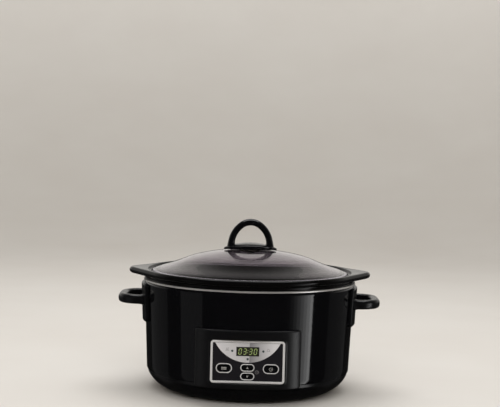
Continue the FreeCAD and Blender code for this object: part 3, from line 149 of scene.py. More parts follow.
class LidSizes(bpy.types.PropertyGroup):
    """Sizes of the glass lid and its handle."""
    lid_radius: length("Lid radius", "Radius of the glass lid", 138)
    lid_edge: length("Lid edge", "Height of the lid's edge", 4)
    lid_bead: length("Lid bead", "Width of the bead on which the lid sits", 5.5)
    lid_hole: length("Lid hole", "Radius of the hole for the handle's screw", 4.2)
    dome_rise: length("Dome rise", "Height of the lid's dome above its edge", 31)
    flare_start: length("Flare start", "Radius at which the dome begins to flare out to its edge", 76)
    flare_drop: length("Flare drop", "How far the flare lies below the dome's sphere at most", 2.2)
    glass: length("Glass", "Thickness of the lid's glass", 4.5)
    loop_thick: length("Loop thickness", "Thickness of the lid's loop seen from the front", 9.5)
    loop_deep: length("Loop depth", "Thickness of the lid's loop seen from the side", 14)
    loop_half: length("Loop half width", "Distance of the loop's legs from its middle", 27.3)
    loop_rise: length("Loop rise", "Height of the loop's crown above its legs", 32.3)
    loop_crown: length("Loop crown", "Radius of the loop's crown", 22)
    leg_top: length("Leg top", "Height of the legs' tops above the dome", 6)
    leg_foot: length("Leg foot", "Height of the legs' feet above the dome", 3)
    boat_reach: length("Boat reach", "Half the length of the handle's foot", 38)
    boat_beam: length("Boat beam", "Half the width of the handle's foot", 22)
    boat_rise: length("Boat rise", "Height of the foot's middle above the dome", 9)
    boat_dome: length("Boat dome", "Radius of the foot's domed top", 110)
    boat_gap: length("Boat gap", "Gap between the foot and the glass", 1.25)


class PanelSizes(bpy.types.PropertyGroup):
    """Sizes of the boss, the panel and the display."""
    boss_face: length("Boss face", "Radius of the boss's wide front", 220)
    boss_wing: length("Boss wing", "Radius of the boss's rounded wings", 40)
    boss_edge: length("Boss edge", "Radius of the boss's rounded outer edge", 2.2)
    boss_corner: length("Boss corner", "Radius of the boss's corners seen from the front", 3)
    mouth_bevel: length("Mouth bevel", "Width of the rounded edge round the panel", 1.5)
    mouth_corner: length("Mouth corner", "Radius of the recess's corners at its edge", 6.2)
    panel_gap: length("Panel gap", "Gap round the panel in its recess", 0.15)
    panel_ledge: length("Panel ledge", "Width of the ledge that carries the panel", 3.2)
    frame_corner: length("Frame corner", "Radius of the silver frame's corners", 4.5)
    frame_line: length("Frame line", "Width of the silver frame", 3.2)
    ring_line: length("Ring line", "Width of a button's silver ring", 1.3)
    sheet: length("Panel sheet", "Thickness of the panel's dark sheet", 2)
    flange: length("Button flange", "How far a button's flange stands out behind the panel", 1.2)
    stem: length("Button stem", "Radius of a button's stem", 2.2)
    digit_height: length("Digit height", "Height of the display's digits", 7.4)
    stroke: length("Segment width", "Width of a digit's segments", 0.95)
    print_lift: length("Print lift", "How far printed signs stand proud", 0.06)


class StageSettings(bpy.types.PropertyGroup):
    """Floor, lamps and camera."""
    sweep_radius: length("Sweep radius", "Distance from the cooker to the backdrop", 5000)
    sweep_bend: length("Sweep bend", "Radius between the floor and the backdrop", 3000)
    overhead: power("Overhead", "Power of the box above the cooker", 40)
    fill: power("Fill", "Power of the box in front of the cooker", 34)
    right_strip: power("Right strip", "Power of the brightest strip on the right", 2.3)
    left_board: power("Left board", "Power of the faint board on the left", 0.62)
    left_edge: power("Left edge", "Power of the faint board that shows at the wall's left edge", 0.39)
    right_edge: power("Right edge", "Power of the faint board that shows at the wall's right edge", 0.34)
    lens: FloatProperty(name="Lens", description="Camera's focal length", default=90.4, unit="CAMERA")
    distance: length("Distance", "Distance from the camera to the cooker's middle", 1800)
    climb: angle("Elevation", "Camera's height above the horizon", 7.5)
    roll: angle("Roll", "Camera's turn about its own axis", 1.45)


class CookerColours(bpy.types.PropertyGroup):
    """Colours of the finishes."""
    enamel: colour("Enamel", "Housing's paint", "#070709")
    glaze: colour("Glaze", "Pot's glaze", "#060607")
    plastic: colour("Plastic", "Handles, tray and boss", "#08080a")
    field: colour("Panel field", "Panel's dark lacquer", "#17161a")
    silver: colour("Silver", "Frame, rings and crescent", "#e0dfdf")
    digits: colour("Digits", "Lit segments of the display", "#b9c98a")
    floor: colour("Floor", "Floor under the cooker", "#cdc8c2")
    backdrop: colour("Backdrop", "Background behind the cooker", "#d6d3ce")


# Shapes

def arc(centre, radius, start, end, count):
    """Points centre + radius (cos a, sin a) for count angles a from start to end, in degrees."""
    angles = np.radians(np.linspace(start, end, count))
    return np.stack([centre[0] + radius * np.cos(angles), centre[1] + radius * np.sin(angles)], axis=1)


def rounded(corners, steps=6):
    """Open outline through corners (a, b, radius): each inner corner is an arc tangent to its sides."""
    points = np.array([corner[:2] for corner in corners], float)
    runs = [points[:1]]
    for before, corner, after, data in zip(points, points[1:], points[2:], corners[1:]):
        radius = data[2]
        if radius == 0:
            runs.append(corner[None])
            continue
        back = (before - corner) / np.linalg.norm(before - corner)
        ahead = (after - corner) / np.linalg.norm(after - corner)
        half = math.acos(float(np.clip(back @ ahead, -1, 1))) / 2
        sweep = math.pi - 2 * half
        centre = corner + (back + ahead) / np.linalg.norm(back + ahead) * radius / math.sin(half)
        first = corner + back * radius / math.tan(half) - centre
        last = corner + ahead * radius / math.tan(half) - centre
        share = np.linspace(0, 1, steps + 1)[:, None]
        blend = np.sin((1 - share) * sweep) * first + np.sin(share * sweep) * last
        runs.append(centre + blend / math.sin(sweep))
    runs.append(points[-1:])
    return np.vstack(runs)


def turned(profile, count):
    """Surface of revolution (r cos t, r sin t, z) of profile points (r, z) at count angles t."""
    turn = np.linspace(0, 2 * np.pi, count, endpoint=False)
    radius, height = profile[:, :1], profile[:, 1:]
    return np.stack([radius * np.cos(turn), radius * np.sin(turn), height + 0 * turn], axis=-1)


def carried(path, side, up, section, scale):
    """Section points (a, b) carried along a path: path + scale (a side + b up)."""
    scale = np.asarray(scale)[:, None, None]
    return (path[:, None] + scale * section[None, :, :1] * side[:, None]
            + scale * section[None, :, 1:] * up[:, None])


def oval(width, height, exponent, count):
    """Superellipse |2x/width|^exponent + |2y/height|^exponent = 1 at count angles."""
    turn = np.linspace(0, 2 * np.pi, count, endpoint=False)
    cosine, sine = np.cos(turn), np.sin(turn)
    return np.stack([width / 2 * np.sign(cosine) * np.abs(cosine) ** (2 / exponent),
                     height / 2 * np.sign(sine) * np.abs(sine) ** (2 / exponent)], axis=1)


def rounded_rectangle(width, height, corner, steps=8, side=8):
    """Closed outline of a rectangle about the origin with corner arcs, each side cut into equal runs."""
    quarter = arc((0, 0), corner, 0, 90, steps + 1)
    reach = np.array([width / 2 - corner, height / 2 - corner])
    arcs = []
    for turn, signs in enumerate(((1, 1), (-1, 1), (-1, -1), (1, -1))):
        cosine, sine = round(math.cos(turn * math.pi / 2)), round(math.sin(turn * math.pi / 2))
        arcs.append(quarter @ np.array([[cosine, sine], [-sine, cosine]]) + reach * signs)
    share = np.linspace(0, 1, side + 1)[1:-1, None]
    runs = []
    for here, following in zip(arcs, arcs[1:] + arcs[:1]):
        runs += [here, here[-1] + (following[0] - here[-1]) * share]
    return np.vstack(runs)


def upright(outline, depth, place):
    """Outline (x, z) about a place that stands up facing -Y, at one depth or at one for each point."""
    across, up = outline[:, 0], outline[:, 1]
    return np.column_stack([place[0] + across, -depth * np.ones(len(outline)), place[1] + up])


def stepped(width, height, corner, steps, place):
    """Rounded rectangles facing -Y, one for each step (inset, depth) that shrinks it and sets its y."""
    rows = []
    for inset, depth in steps:
        outline = rounded_rectangle(width - 2 * inset, height - 2 * inset, max(corner - inset, TINY))
        rows.append(upright(outline, depth, place))
    return np.stack(rows)


def sheet(grid, wrap_rows=False, wrap_columns=True, kept=None):
    """Grid of points, the ways in which it closes on itself and, where some are left out, its kept quads."""
    return grid, wrap_rows, wrap_columns, kept


def woven(name, sheets, crease=40, closed=True):
    """Mesh of sheets with doubles merged, faces outwards if closed, and edges past the crease angle sharp."""
    vertices, faces, start = [], [], 0
    for grid, wrap_rows, wrap_columns, kept in sheets:
        rows, columns = grid.shape[:2]
        index = start + np.arange(rows * columns).reshape(rows, columns)
        index = np.vstack([index, index[:1]]) if wrap_rows else index
        index = np.hstack([index, index[:, :1]]) if wrap_columns else index
        quads = np.stack([index[:-1, :-1], index[:-1, 1:], index[1:, 1:], index[1:, :-1]], axis=-1)
        faces.append(quads[kept] if kept is not None else quads.reshape(-1, 4))
        vertices.append(grid.reshape(-1, 3))
        start += rows * columns
    mesh = bpy.data.meshes.new(name)
    mesh.from_pydata(np.vstack(vertices).tolist(), [], np.vstack(faces).tolist())
    shape = bmesh.new()
    shape.from_mesh(mesh)
    bmesh.ops.remove_doubles(shape, verts=shape.verts, dist=0.2 * TINY)
    loose = [vertex for vertex in shape.verts if not vertex.link_faces]
    bmesh.ops.delete(shape, geom=loose, context="VERTS")
    if closed:
        bmesh.ops.recalc_face_normals(shape, faces=shape.faces)
    shape.to_mesh(mesh)
    shape.free()
    mesh.shade_smooth()
    mesh.set_sharp_from_angle(angle=math.radians(crease))
    return mesh


def shown(name, mesh, finish):
    """Object at the origin that shows a mesh in a finish."""
    mesh.materials.append(finish)
    piece = bpy.data.objects.new(name, mesh)
    bpy.context.scene.collection.objects.link(piece)
    return piece


def build(name, sheets, finish, body, stands_for=(), crease=40, closed=True):
    """Make sheets into one piece that rides on a body and stands for CAD nodes."""
    piece = shown(name, woven(name, sheets, crease, closed), finish)
    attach(piece, body)
    if stands_for:
        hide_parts(*stands_for)
    return piece


def dress(finish, *names):
    """Give CAD nodes a finish."""
    for name in names:
        mesh = frame["nodes"][name].data
        mesh.materials.clear()
        mesh.materials.append(finish)


# Finishes

def add(tree, kind, inputs=None, **settings):
    """Add a node: settings are its properties, inputs are values or the sockets that link to it."""
    made = tree.nodes.new(kind)
    for name, value in settings.items():
        setattr(made, name, value)
    for key, value in (inputs or {}).items():
        if isinstance(value, bpy.types.NodeSocket):
            tree.links.new(value, made.inputs[key])
        else:
            made.inputs[key].default_value = value
    return made


def surface(name, values):
    """Material with values set straight on its shader's sockets: (material, tree, shader, place)."""
    material = bpy.data.materials.new(name)
    material.use_nodes = True
    tree = material.node_tree
    shader = tree.nodes["Principled BSDF"]
    for key, value in values.items():
        shader.inputs[key].default_value = value
    place = add(tree, "ShaderNodeTexCoord").outputs["Object"]
    return material, tree, shader, place


def pebbled(name, values, grain_mm, depth_mm, roughness, stretch=(1, 1, 1), detail=2.0):
    """Finish whose bump and roughness follow one noise of a real grain size; stretch draws the grain out."""
    material, tree, shader, place = surface(name, values)
    lay = add(tree, "ShaderNodeMapping", {"Vector": place, "Scale": stretch})
    grain = add(tree, "ShaderNodeTexNoise", {"Vector": lay.outputs["Vector"], "Scale": 1 / (grain_mm * MM),
                                             "Detail": detail})
    spread = add(tree, "ShaderNodeMapRange", {"Value": grain.outputs["Fac"], "From Min": 0.3, "From Max": 0.7,
                                              "To Min": roughness[0], "To Max": roughness[1]})
    bump = add(tree, "ShaderNodeBump", {"Height": grain.outputs["Fac"], "Distance": depth_mm * MM})
    tree.links.new(spread.outputs["Result"], shader.inputs["Roughness"])
    tree.links.new(bump.outputs["Normal"], shader.inputs["Normal"])
    return material, tree, shader, place


def shaded(tree, shader, place, spot_mm, first, second):
    """Base colour that drifts between two colours in spots of a real size."""
    drift = add(tree, "ShaderNodeTexNoise", {"Vector": place, "Scale": 1 / (spot_mm * MM), "Detail": 3.0})
    blend = add(tree, "ShaderNodeMix", {"Factor": drift.outputs["Fac"], "A": first, "B": second},
                data_type="RGBA")
    tree.links.new(blend.outputs["Result"], shader.inputs["Base Color"])


def sprayed_enamel(colours):
    """Gloss enamel sprayed on sheet steel: deep black with the soft ripple of orange peel."""
    material, tree, shader, place = pebbled(
        "sprayed_enamel", {"Specular IOR Level": 0.32, "IOR": 1.5}, 3.0, 0.008, (0.05, 0.08))
    shaded(tree, shader, place, 60, colours.enamel, linear("#09090b"))
    return material


def fired_glaze(colours):
    """Glossy fired glaze on stoneware: flowed smooth, with slow waves and faint brown specks of iron."""
    material, tree, shader, place = pebbled(
        "fired_glaze", {"Specular IOR Level": 0.16, "IOR": 1.5}, 14.0, 0.04, (0.15, 0.2), detail=1.0)
    shaded(tree, shader, place, 2.5, colours.glaze, linear("#0a0908"))
    return material


def moulded_phenolic(colours):
    """Phenolic moulded in a fine-blasted tool: black, half gloss, with a close grain."""
    material, tree, shader, place = pebbled(
        "moulded_phenolic", {"Specular IOR Level": 0.4, "IOR": 1.55}, 0.5, 0.006, (0.24, 0.32))
    shaded(tree, shader, place, 20, colours.plastic, linear("#0c0c0e"))
    return material


def polished_abs(colours):
    """ABS moulded in a polished tool: black and glossy, with faint sink waves."""
    material, tree, shader, place = pebbled(
        "polished_abs", {"Specular IOR Level": 0.4, "IOR": 1.53}, 9.0, 0.02, (0.16, 0.22), detail=1.0)
    shaded(tree, shader, place, 40, colours.plastic, linear("#0b0b0d"))
    return material


def tempered_glass():
    """Pressed and tempered soda-lime glass: faintly tinted, with pressing waves and a ground, paler edge."""
    material, tree, shader, place = surface("tempered_glass", {
        "Base Color": linear("#cbc5cf"), "Transmission Weight": 1.0, "IOR": 1.5, "Roughness": 0.0})
    wave = add(tree, "ShaderNodeTexNoise", {"Vector": place, "Scale": 1 / (35 * MM), "Detail": 1.0})
    bump = add(tree, "ShaderNodeBump", {"Height": wave.outputs["Fac"], "Distance": 0.05 * MM})
    tree.links.new(bump.outputs["Normal"], shader.inputs["Normal"])
    flat = add(tree, "ShaderNodeVectorMath", {0: place, 1: (1, 1, 0)}, operation="MULTIPLY")
    reach = add(tree, "ShaderNodeVectorMath", {0: flat.outputs["Vector"]}, operation="LENGTH")
    edge = bpy.context.scene.cooker_lid.lid_radius
    ground_in, ground_out = edge - 2.6 * MM, edge - 1.2 * MM
    for socket, inner, outer in (("Roughness", 0.0, 0.3), ("Transmission Weight", 1.0, 0.55)):
        ground = add(tree, "ShaderNodeMapRange", {
            "Value": reach.outputs["Value"], "From Min": ground_in, "From Max": ground_out,
            "To Min": inner, "To Max": outer})
        tree.links.new(ground.outputs["Result"], shader.inputs[socket])
    return material


def rolled_steel():
    """Bright rolled stainless strip: an even sheen with a close polishing grain."""
    return pebbled("rolled_steel", {"Base Color": linear("#d8d6d4"), "Metallic": 0.7},
                   0.3, 0.001, (0.27, 0.33))[0]


def brushed_aluminium(colours):
    """Brushed and anodised aluminium: silver with fine upright brush lines, drawn coarse enough to show."""
    return pebbled("brushed_aluminium", {"Base Color": colours.silver, "Metallic": 0.35},
                   0.5, 0.003, (0.3, 0.42), stretch=(1, 1, 0.04))[0]


def sunray_aluminium():
    """Brushed sheet with a painted reflection in its base colour: bright, greyer to the middle, a step down,
    then bright again.
    """
    left_end, step_at, right_end, soft = -43 * MM, 2.3 * MM, 34 * MM, 0.1 * MM
    material, tree, shader, place = pebbled(
        "sunray_aluminium", {"Metallic": 0.2}, 0.5, 0.002, (0.36, 0.46), stretch=(1, 1, 0.04))
    across = add(tree, "ShaderNodeSeparateXYZ", {"Vector": place}).outputs["X"]
    left = add(tree, "ShaderNodeMapRange", {
        "Value": across, "From Min": left_end, "From Max": step_at - soft, "To Min": 0.06, "To Max": 0.34})
    right = add(tree, "ShaderNodeMapRange", {
        "Value": across, "From Min": step_at + soft, "From Max": right_end, "To Min": 0.8, "To Max": 0.08})
    step = add(tree, "ShaderNodeMath", {0: across, 1: step_at}, operation="GREATER_THAN")
    dark = add(tree, "ShaderNodeMix", {"Factor": step.outputs["Value"], "A": left.outputs["Result"],
                                       "B": right.outputs["Result"]}, data_type="FLOAT")
    # Painted reflection: the base colour runs from bright at the left to grey, steps down to dark and grows
    # bright again to the right, in place of the light and dark sectors that brushed metal reflects
    tone = add(tree, "ShaderNodeMix", {"Factor": dark.outputs["Result"], "A": linear("#dcdadc"),
                                       "B": linear("#5a585c")}, data_type="RGBA")
    tree.links.new(tone.outputs["Result"], shader.inputs["Base Color"])
    return material


def panel_lacquer(colours):
    """Dark grey lacquer printed on the back of a polycarbonate sheet: satin, with a very fine sparkle."""
    material, tree, shader, place = pebbled(
        "panel_lacquer", {"Specular IOR Level": 0.4}, 0.35, 0.003, (0.3, 0.4))
    shaded(tree, shader, place, 0.8, colours.field, linear("#1f1d22"))
    return material


def smoked_window():
    """Smoked acrylic window over the display: nearly black olive and glossy."""
    material, tree, shader, place = pebbled(
        "smoked_window", {"Specular IOR Level": 0.4, "IOR": 1.49}, 8.0, 0.004, (0.06, 0.1), detail=1.0)
    shaded(tree, shader, place, 6, linear("#24241e"), linear("#2b2b24"))
    return material


def lit_segment(colours):
    """Lit segment of the display: a yellow-green glow that drifts a little in tone."""
    material, tree, shader, place = surface("lit_segment", {
        "Base Color": linear("#3a4422"), "Roughness": 0.4, "Emission Strength": 0.55})
    glow = add(tree, "ShaderNodeTexNoise", {"Vector": place, "Scale": 1 / (1.5 * MM), "Detail": 1.0})
    tone = add(tree, "ShaderNodeMix", {"Factor": glow.outputs["Fac"], "A": colours.digits,
                                       "B": linear("#a3b56c")}, data_type="RGBA")
    tree.links.new(tone.outputs["Result"], shader.inputs["Emission Color"])
    return material


def plain(name, first, second, spot_mm, grain_mm, depth_mm, roughness, metallic=0.0, specular=0.5):
    """Finish with a drifting base colour over a close grain, for small and hidden pieces."""
    values = {"Metallic": metallic, "Specular IOR Level": specular}
    tree, shader, place = pebbled(name, values, grain_mm, depth_mm, roughness)[1:]
    shaded(tree, shader, place, spot_mm, linear(first), linear(second))


def finishes():
    """All finishes by name, made once."""
    colours = bpy.context.scene.cooker_colours
    if "sprayed_enamel" not in bpy.data.materials:
        sprayed_enamel(colours)
        fired_glaze(colours)
        moulded_phenolic(colours)
        polished_abs(colours)
        tempered_glass()
        rolled_steel()
        brushed_aluminium(colours)
        sunray_aluminium()
        panel_lacquer(colours)
        smoked_window()
        lit_segment(colours)
        # ABS from a finely etched mould: the boss's satin skin, which spreads a light into a soft band
        plain("satin_abs", "#09090b", "#0d0d10", 30, 0.4, 0.004, (0.4, 0.46), specular=0.8)
        # Natural rubber from a matt mould
        plain("moulded_rubber", "#131313", "#1a1a19", 8, 0.6, 0.02, (0.6, 0.75))
        # Silicone sheet, stamped
        plain("stamped_silicone", "#c9c7bf", "#bdbab1", 10, 0.8, 0.01, (0.5, 0.62))
        # Aluminium spun over a former: an even grey sheen
        plain("spun_aluminium", "#c6c6c8", "#b9b9bc", 30, 0.5, 0.006, (0.34, 0.46), metallic=0.5)
        # Steel with bright zinc plating
        plain("zinc_plating", "#b5b4ae", "#a3a29a", 6, 0.4, 0.004, (0.28, 0.4), metallic=1.0)
        # Glass-epoxy board with green solder mask
        plain("solder_mask", "#1f5a34", "#276a3f", 3, 0.3, 0.01, (0.35, 0.45))
        # Dark grey nylon of relays, switches and terminals
        plain("moulded_nylon", "#2e2e31", "#37373a", 5, 0.4, 0.008, (0.4, 0.5))
        # Mica and glass tape round the heater
        plain("mica_tape", "#a89468", "#8f7c54", 4, 1.2, 0.03, (0.5, 0.65))
        # Unglazed alumina of the fuse
        plain("bisque_alumina", "#dedbd2", "#cfccc2", 4, 0.3, 0.005, (0.6, 0.7))
        # Silver ink printed on the buttons
        plain("silver_ink", "#b9b7b4", "#a9a7a4", 1.5, 0.3, 0.002, (0.4, 0.5), metallic=0.3)
        # Dark grey ink of the crescent's signs
        plain("grey_ink", "#7d7a7c", "#8b888a", 1.5, 0.3, 0.002, (0.5, 0.6))
        # Smoked lens of an indicator
        plain("indicator_lens", "#1c2224", "#28343a", 0.8, 0.5, 0.002, (0.12, 0.2))
        # Unlit segments
        plain("dark_segment", "#2f3027", "#34362c", 2, 0.5, 0.002, (0.3, 0.4))
    return bpy.data.materials


SLOT_FINISH = {
    "black_painted_steel": "sprayed_enamel",
    "bright_steel": "rolled_steel",
    "black_glaze": "fired_glaze",
    "clear_glass": "tempered_glass",
    "black_plastic": "moulded_phenolic",
    "black_rubber": "moulded_rubber",
    "silicone": "stamped_silicone",
    "aluminium": "spun_aluminium",
    "zinc_plated_steel": "zinc_plating",
    "grey_panel": "panel_lacquer",
    "silver_panel": "brushed_aluminium",
    "dark_window": "smoked_window",
    "grey_component": "moulded_nylon",
    "button_black": "polished_abs",
    "indicator_lens": "indicator_lens",
    "circuit_board": "solder_mask",
    "heater_sheet": "mica_tape",
    "white_ceramic": "bisque_alumina",
}


# Levels of the CAD model, in metres

def low_high(name):
    """A node's lowest and highest corners as arrays."""
    low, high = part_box(name)
    return np.array(low), np.array(high)


def middle(low, high):
    """Middle (x, z) of a box seen from the front."""
    return (low[0] + high[0]) / 2, (low[2] + high[2]) / 2


WALL_LOW, WALL_HIGH = low_high("outer_housing")
TRAY_LOW = low_high("base_tray")[0]
RING_HIGH = low_high("trim_ring")[1]
POT_LOW = low_high("stoneware_pot")[0]
GLASS_LOW = low_high("lid_glass")[0]
FIELD_LOW, FIELD_HIGH = low_high("control_fascia")
FRAME_LOW, FRAME_HIGH = low_high("fascia_frame")


def wall_radius(body, height):
    """Outside radius of the leaning housing at a height."""
    share = (height - WALL_LOW[2]) / (WALL_HIGH[2] - WALL_LOW[2])
    return body.wall_top - body.wall_taper * (1 - share)


class COOKER_OT_hidden(bpy.types.Operator):
    """Give every CAD node the finish of its slot"""
    bl_idname = "cooker.hidden"
    bl_label = "Finishes of CAD nodes"

    def execute(self, context):
        made = finishes()
        for row in frame["record"]["subparts"]:
            dress(made[SLOT_FINISH[row["material_slot"]]], row["node"])
        return {"FINISHED"}


class COOKER_OT_housing(bpy.types.Operator):
    """Make the painted steel wall with its window for the controls"""
    bl_idname = "cooker.housing"
    bl_label = "Housing"

    def execute(self, context):
        body = context.scene.cooker_body
        low, high = WALL_LOW[2], WALL_HIGH[2]
        foot, roll = body.wall_top - body.wall_taper, body.wall_roll
        # Columns are angles from the front; the cells of the window behind the controls are left out
        window = math.asin(body.window_half / foot)
        window_rows, window_columns, round_columns, rows_above = 12, 32, 224, 12
        front = np.linspace(-window, window, window_columns + 1)
        around = np.linspace(window, 2 * np.pi - window, round_columns + 1)[1:-1]
        turn = np.concatenate([front, around]) - np.pi / 2
        heights = np.concatenate([np.linspace(body.window_low, body.window_high, window_rows + 1),
                                  np.linspace(body.window_high, high, rows_above + 1)[1:]])
        flange = np.array([[foot - body.wall_flange, low], [foot - roll, low]])
        bend = arc((foot - roll, low + roll), roll, -90, -8, 6)
        wall = np.column_stack([wall_radius(body, heights), heights])
        profile = np.vstack([flange, bend, wall])
        grid = np.stack([profile[:, :1] * np.cos(turn), profile[:, :1] * np.sin(turn),
                         profile[:, 1:] + 0 * turn], axis=-1)
        kept = np.ones((len(profile) - 1, len(turn)), bool)
        first = len(flange) + len(bend)
        kept[first:first + window_rows, :window_columns] = False
        piece = build("housing_wall", [sheet(grid, kept=kept)], finishes()["sprayed_enamel"], "base",
                      ["outer_housing"], closed=False)
        steel = piece.modifiers.new("sheet", "SOLIDIFY")
        steel.thickness = body.wall_sheet
        steel.offset = -1
        return {"FINISHED"}


class COOKER_OT_trim_ring(bpy.types.Operator):
    """Make the bright ring over the housing's top edge"""
    bl_idname = "cooker.trim_ring"
    bl_label = "Trim ring"

    def execute(self, context):
        body = context.scene.cooker_body
        outside, top, inside = RING_HIGH[0], RING_HIGH[2], body.ring_bore
        seat, half_way = WALL_HIGH[2], (WALL_HIGH[2] + RING_HIGH[2]) / 2
        wall, low = outside - body.ring_wrap, seat - body.ring_lap
        profile = rounded([
            (inside, half_way, 0), (inside, top, 0.6 * MM), (outside, top, 1.0 * MM),
            (outside, low, 0.4 * MM), (wall, low, 0.3 * MM), (wall, seat, 0), (inside, seat, 0.5 * MM),
            (inside, half_way, 0)], steps=8)
        build("rim_ring", [sheet(turned(profile[:-1], 240), wrap_rows=True)], finishes()["rolled_steel"],
              "base", ["trim_ring"])
        return {"FINISHED"}


def lip_outline(pot, turn):
    """Distance from the axis to the lip's edge: a lug's tip circle, its straight flank, the round lip."""
    lip, reach, tip = pot.lip_radius, pot.lug_reach, pot.lug_tip
    flank = math.acos((lip - tip) / (reach - tip))
    fold = np.arccos(np.abs(np.cos(turn)))
    centre = reach - tip
    nose = centre * np.cos(fold) + np.sqrt(np.maximum(tip ** 2 - (centre * np.sin(fold)) ** 2, 0))
    straight = lip / np.cos(fold - flank)
    nose_end = math.atan2(tip * math.sin(flank), centre + tip * math.cos(flank))
    return np.where(fold < nose_end, nose, np.where(fold < flank, straight, lip))


class COOKER_OT_pot(bpy.types.Operator):
    """Make the glazed pot whose dished lip runs out into two lugs"""
    bl_idname = "cooker.pot"
    bl_label = "Stoneware pot"

    def execute(self, context):
        pot = context.scene.cooker_pot
        turn = np.linspace(0, 2 * np.pi, 360, endpoint=False)
        seat, bottom = RING_HIGH[2], POT_LOW[2]
        lip, nose, slope = pot.lip_radius, pot.lip_nose, pot.lip_slope
        floor, ledge, top = bottom + pot.floor_thick, seat + pot.ledge_rise, seat + pot.lip_rise
        step, dish = ledge + pot.step_rise, pot.step_radius + 0.6 * MM
        tilt = math.degrees(math.atan(slope))
        inside = rounded([
            (0, floor, 0), (pot.floor_radius, floor, 16 * MM), (pot.mouth_radius, ledge, 2 * MM),
            (pot.ledge_radius, ledge, 0.8 * MM), (pot.ledge_radius + 0.3 * MM, step, 0.9 * MM),
            (pot.step_radius, step, 0.8 * MM), (dish, top - (lip - dish) * slope, 1.0 * MM),
            (lip - nose, top - nose * slope, 0)])
        share = np.linspace(0, 1, 9)[1:-1]
        run = inside[-2] + (inside[-1] - inside[-2]) * share[:, None]
        start = dish + 1.0 * MM
        spread = np.clip((inside[:-1, 0] - start) / (lip - nose - start), 0, 1)
        edge = arc((lip - nose, top - nose * slope - nose), nose, 90 + tilt * 0.4, -90 + tilt, 15)
        shoulder = np.array([pot.shoulder_radius, seat + pot.shoulder_rise])
        back = np.linspace(0, 1, 7)[1:-1]
        under = edge[-1] + (shoulder - edge[-1]) * back[:, None]
        outside = rounded([
            (*under[-1], 0), (*shoulder, 1.5 * MM), (pot.seat_radius, seat, 0.8 * MM),
            (pot.neck_radius, seat, 1.5 * MM), (pot.foot_radius, bottom, pot.foot_round), (0, bottom, 0)])[1:]
        profile = np.vstack([inside[:-1], run, inside[-1:], edge, under, outside])
        # Each point moves out and up with the lug by its weight: none at the ledge, all at the edge
        weight = np.concatenate([spread, share, np.ones(len(edge) + 1), 1 - back, np.zeros(len(outside))])
        grow = weight[:, None] * (lip_outline(pot, turn) - lip)[None]
        radius = profile[:, :1] + grow
        height = profile[:, 1:] + grow * pot.lug_slope
        grid = np.stack([radius * np.cos(turn), radius * np.sin(turn), height], axis=-1)
        build("glazed_pot", [sheet(grid)], finishes()["fired_glaze"], "pot", ["stoneware_pot"],
              crease=50)
        return {"FINISHED"}


def dome_sphere(lid):
    """Radius of the lid's outer sphere and the height of its centre."""
    sphere = (lid.lid_radius ** 2 + lid.dome_rise ** 2) / (2 * lid.dome_rise)
    return sphere, GLASS_LOW[2] + lid.lid_edge + lid.dome_rise - sphere


class COOKER_OT_lid(bpy.types.Operator):
    """Make the domed glass lid with its seat bead and hole"""
    bl_idname = "cooker.lid"
    bl_label = "Glass lid"

    def execute(self, context):
        lid = context.scene.cooker_lid
        sphere, centre = dome_sphere(lid)
        radius, hole, bead, low = lid.lid_radius, lid.lid_hole, lid.lid_radius - lid.lid_bead, GLASS_LOW[2]

        def dome(ball, start, end, count):
            """Points (r, z) of a sphere about the dome's centre, less a flare: drop sin^2(pi share)."""
            across = np.linspace(start, end, count)
            share = np.clip((across - lid.flare_start) / (radius - lid.flare_start), 0, 1)
            return np.column_stack([across, centre + np.sqrt(ball ** 2 - across ** 2)
                                    - lid.flare_drop * np.sin(np.pi * share) ** 2])

        inner = dome(sphere - lid.glass, hole, bead - 2 * MM, 26)
        outer = dome(sphere, radius - 1.6 * MM, hole, 34)
        edge = rounded([(*inner[-1], 0), (bead, inner[-1, 1] - 1.6 * MM, 2 * MM), (bead, low, 1.2 * MM),
                        (radius, low, 1.7 * MM), (radius, low + lid.lid_edge, 1.5 * MM), (*outer[0], 0)])
        profile = np.vstack([inner, edge[1:-1], outer])
        build("glass_dome", [sheet(turned(profile, 240), wrap_rows=True)], finishes()["tempered_glass"],
              "lid", ["lid_glass"])
        return {"FINISHED"}


def capped(path, side, up, section, scale):
    """Carried section closed at both ends: its first and last rows shrink to the path."""
    ends = np.zeros(1)
    first = carried(path[:1], side[:1], up[:1], section, ends)
    last = carried(path[-1:], side[-1:], up[-1:], section, ends)
    return np.vstack([first, carried(path, side, up, section, scale), last])


